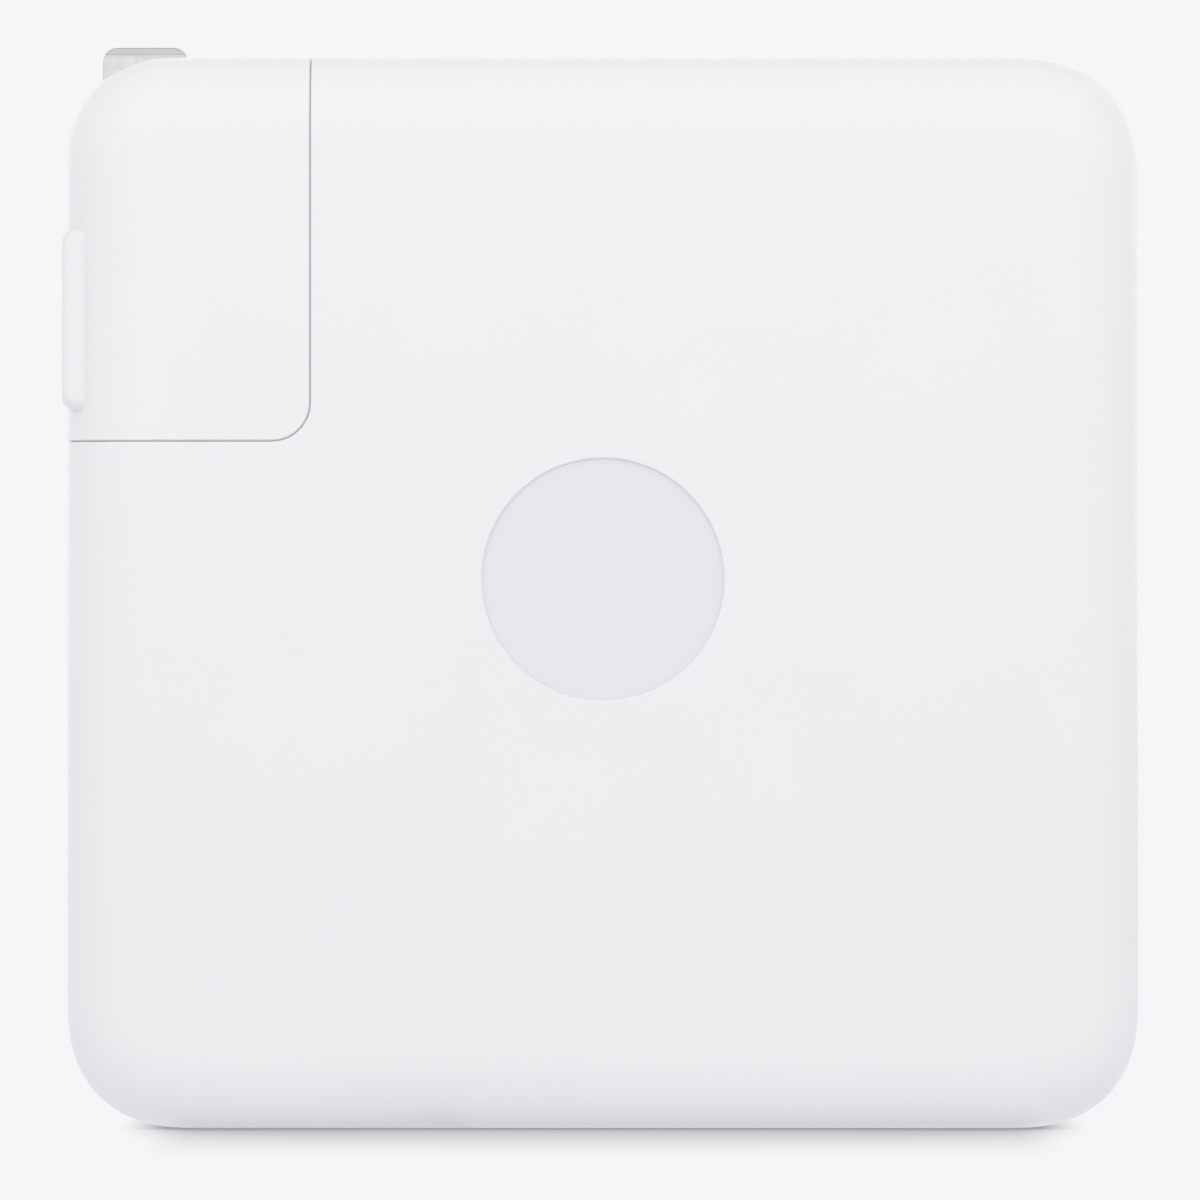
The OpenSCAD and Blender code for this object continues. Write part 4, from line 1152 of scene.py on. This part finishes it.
def blade_metal():
    """Nickel plating, with painted shade: a darker colour on the coined bevels at the blades' tips."""
    mat = metal("blade_nickel", *BLADE_NICKEL)
    tree = mat.node_tree
    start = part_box("front_blade")[1].z - TIP_BEVEL
    mask = mask_beyond(tree, "Z", start, start + BEVEL_SHADE_FADE)
    # Painted shade: the top of each blade, above the bevel's edge, is given a darker colour.
    blend_color(tree, mask, BEVEL_SHADE)
    return mat


MATERIALS = {"white_gloss": shell_plastic()}
MATERIALS |= {name: moulded(name, *looks) for name, looks in PLASTICS.items()}
MATERIALS |= {name: metal(name, *looks) for name, looks in METALS.items()}

# ---- Pieces on their bodies

# Slot, places of the legs along the body, its height above the board, its corner and edge radii
# and the legs' radius.
LEGGED = {
    "fuse": ("fuse_case", (0.2, 0.8), *mm(0.8, 0.6, 0.3, 0.3)),
    "bridge_rectifier": ("black_resin", (0.11, 0.37, 0.63, 0.89), *mm(1.2, 0.3, 0.25, 0.45)),
    "optocoupler": ("white_satin", (0.25, 0.75), *mm(0.6, 0.3, 0.25, 0.3)),
}

# Count, legs on a side, and the legs' rise and width.
CHIPS = {
    "power_transistors": (2, 4, *mm(0.9, 0.6)),
    "control_chips": (3, 4, *mm(0.7, 0.4)),
}


def dress(obj, slot, body="housing", material=None):
    """Puts a new piece on a body, in place of the CAD node that it is named after."""
    obj.data.materials.clear()
    obj.data.materials.append(material or MATERIALS[slot])
    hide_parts(obj.name.rsplit("_", 1)[0])
    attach(obj, body)


def dress_cad():
    """Gives every CAD node the material of its slot, and soft edges where it shows."""
    slots = {s["node"]: s["material_slot"] for s in frame["record"]["subparts"]}
    for name, obj in frame["nodes"].items():
        obj.data.materials.clear()
        obj.data.materials.append(MATERIALS[slots[name]])
        if not obj.hide_render:
            weld = obj.modifiers.new("weld", "WELD")
            weld.merge_threshold = WELD
            soften(obj, CAD_ROUND)


def dress_board_parts():
    """The parts on the main board, of which some stand on legs."""
    film_case = soft_block(*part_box("line_capacitor"), *mm(0.5, 0.35))
    one_piece = [
        (make_bulk_capacitors(), "sleeved_can"),
        (make_output_capacitors(), "bare_can"),
        (make_choke_core(), "ferrite"),
        (make_choke_windings(), "copper"),
        (form("line_capacitor", film_case), "film_case"),
        (make_transformer_winding(), "taped_copper"),
        (make_square_inductor("boost_inductor", 0.5 * MM), "ferrite"),
        (make_square_inductor("output_inductor", 0.35 * MM), "ferrite"),
    ]
    for obj, slot in one_piece:
        dress(obj, slot)
    on_legs = [(make_legged(name, *sizes), slot) for name, (slot, *sizes) in LEGGED.items()]
    on_legs.append((make_disc_capacitor(), "blue_disc"))
    on_legs += [(make_chips(name, *sizes), "black_resin") for name, sizes in CHIPS.items()]
    for (body, legs), slot in on_legs:
        dress(body, slot)
        dress(legs, "nickel")


dress(make_front_shell(), "white_gloss")
dress(make_rear_shell(), "white_gloss")
dress(make_plug_shell(), "white_gloss", "plug")
plated = blade_metal()
for blade, y in zip(("front_blade", "rear_blade"), BLADE_YS):
    dress(make_blade(blade, y), "nickel", "blades", plated)
dress(make_stud(), "nickel")
dress(make_pins(), "nickel")
dress(make_inlet(), "inlet_plastic")
dress(make_sleeves(), "brass", "plug")
dress(make_nose(), "white_satin", "plug")
dress(make_port_shell(), "steel")
dress(make_tongue(), "black_resin")
dress_board_parts()
dress_cad()

# ---- Floor, light and camera

BACKDROP = (0.922, 0.913, 0.939)
FLOOR_HALF = 6.0
FLOOR_COLOR = (0.855, 0.865, 0.9)

# Under the part the floor gives less light, and its shadow fades aside, in front and behind.
UNDER_X = mm(30, 34)
UNDER_Y = mm(10, 15)
UNDER_LIGHT = 0.88
SHADOW_REACH = 58 * MM
SHADOW_SIDE = mm(30, 36.7)
SHADOW_TAPER = 32 * MM
SHADOW_TAPERED = 34 * MM
SHADOW_BEHIND = HALF_T + 45 * MM
SHADOW_WIDEN = mm(12, 27)
SHADOW_GAIN = (0.84, 0.96)
SHADOW_DARKEST = 0.62
SHADOW_SAMPLES = 8

# Level of the dome and its changes by direction, then the soft box and the panel.
DOME_COLOR = (1, 0.991, 1.01)
DOME = 1.082
DOME_FRONT = 0.42
DOME_SIDE = 0.05
DOME_RIGHT = 0.025
DOME_TOP = 0.64
LAMP_LOW = (sin(radians(26)), sin(radians(33)))
LAMP_HIGH = (sin(radians(42)), sin(radians(50)))
LAMP_SIDE = (0.15, 0.35)
LAMP_FRONT = (0.0, 0.1)
LAMP_GAIN = 0.36
PANEL_AT = (0, -0.05, 0.2)
PANEL_SIZE = (0.3, 0.2)
PANEL_GAIN = 0.31


def shine(tree, kind, output, given, seen):
    """Gives off one light to the part and another to the camera, each a colour and a level."""
    inputs = {0: node(tree, "LightPath").outputs["Is Camera Ray"]}
    for key, (color, level) in enumerate((given, seen), 1):
        inputs[key] = node(tree, kind, {"Color": (*color, 1), "Strength": level}).outputs[0]
    mix = node(tree, "MixShader", inputs)
    tree.links.new(mix.outputs[0], tree.nodes[output].inputs["Surface"])


def make_floor():
    """A pale floor as bright as the backdrop, with a soft contact shadow. It gives even light
    from below."""
    h = FLOOR_HALF
    floor = solid("floor", [[Vector((x, y, 0)) for x, y in ((-h, -h), (h, -h), (h, h), (-h, h))]])
    mat = bpy.data.materials.new("floor")
    mat.use_nodes = True
    tree = mat.node_tree
    tree.nodes.remove(tree.nodes["Principled BSDF"])
    near = node(tree, "AmbientOcclusion", {"Distance": SHADOW_REACH}, samples=SHADOW_SAMPLES)
    covered = calc(tree, "SUBTRACT", 1.0, near.outputs["AO"])
    place = parts_of(tree, object_place(tree))
    aside, along = (calc(tree, "ABSOLUTE", place[axis]) for axis in "XY")
    far = -HALF_T - SHADOW_TAPER
    end = spread(tree, place["Y"], far, -HALF_T, SHADOW_TAPERED, SHADOW_SIDE[1])
    inside = spread(tree, aside, SHADOW_SIDE[0], end, 1.0, 0.0)
    behind = spread(tree, place["Y"], HALF_T, SHADOW_BEHIND, 1.0, 0.0)
    gain = spread(tree, aside, *SHADOW_WIDEN, *SHADOW_GAIN)
    soft = times(tree, times(tree, covered, times(tree, inside, behind)), gain)
    level = calc(tree, "SUBTRACT", 1.0, calc(tree, "MINIMUM", soft, SHADOW_DARKEST))
    clear = calc(tree, "MAXIMUM", spread(tree, aside, *UNDER_X), spread(tree, along, *UNDER_Y))
    light = spread(tree, clear, 0.0, 1.0, UNDER_LIGHT, 1.0)
    shine(tree, "Emission", "Material Output", (FLOOR_COLOR, light), (BACKDROP, level))
    floor.data.materials.append(mat)


def make_world():
    """A soft dome, brighter in front and weaker at the sides and overhead, with a wide soft box
    high in front. The camera sees a plain backdrop."""
    world = bpy.data.worlds.new("studio")
    bpy.context.scene.world = world
    world.use_nodes = True
    tree = world.node_tree
    parts = parts_of(tree, node(tree, "TexCoord").outputs["Generated"])
    aside = calc(tree, "ABSOLUTE", parts["X"])
    side = calc(tree, "POWER", aside, 2.0)
    front = calc(tree, "MAXIMUM", times(tree, parts["Y"], -1.0), 0.0)
    above = calc(tree, "POWER", calc(tree, "MAXIMUM", parts["Z"], 0.0), 2.0)
    lamp = spread(tree, parts["Z"], *LAMP_LOW)
    lamp = times(tree, lamp, spread(tree, parts["Z"], *LAMP_HIGH, 1.0, 0.0))
    lamp = times(tree, lamp, spread(tree, aside, *LAMP_SIDE, 1.0, 0.0))
    lamp = times(tree, lamp, spread(tree, front, *LAMP_FRONT))
    level = DOME
    gains = (DOME_FRONT, DOME_RIGHT, -DOME_SIDE, -DOME_TOP, LAMP_GAIN)
    for part, gain in zip((front, parts["X"], side, above, lamp), gains):
        level = calc(tree, "ADD", level, times(tree, part, gain))
    shine(tree, "Background", "World Output", (DOME_COLOR, level), (BACKDROP, 1.0))


def make_panel():
    """A soft light close overhead, so that the light fades a little towards the floor."""
    data = bpy.data.lights.new("panel", "AREA")
    data.shape = "RECTANGLE"
    data.size, data.size_y = PANEL_SIZE
    data.energy = PANEL_GAIN * pi * PANEL_SIZE[0] * PANEL_SIZE[1]
    panel = add("panel", data)
    panel.location = PANEL_AT
    panel.visible_camera = False


CAMERA_AT = Vector((-0.218 * MM, -1.2, 39.452 * MM))
CAMERA_LENS = 478.3
SENSOR = 36
CLIP = (0.1, 20)


def make_camera():
    data = bpy.data.cameras.new("camera")
    data.sensor_width = SENSOR
    data.lens = CAMERA_LENS
    data.clip_start, data.clip_end = CLIP
    camera = add("camera", data)
    camera.location = CAMERA_AT
    camera.rotation_euler = (pi / 2, 0, 0)
    bpy.context.scene.camera = camera
    bpy.context.scene.view_settings.view_transform = "Standard"


make_floor()
make_world()
make_panel()
make_camera()
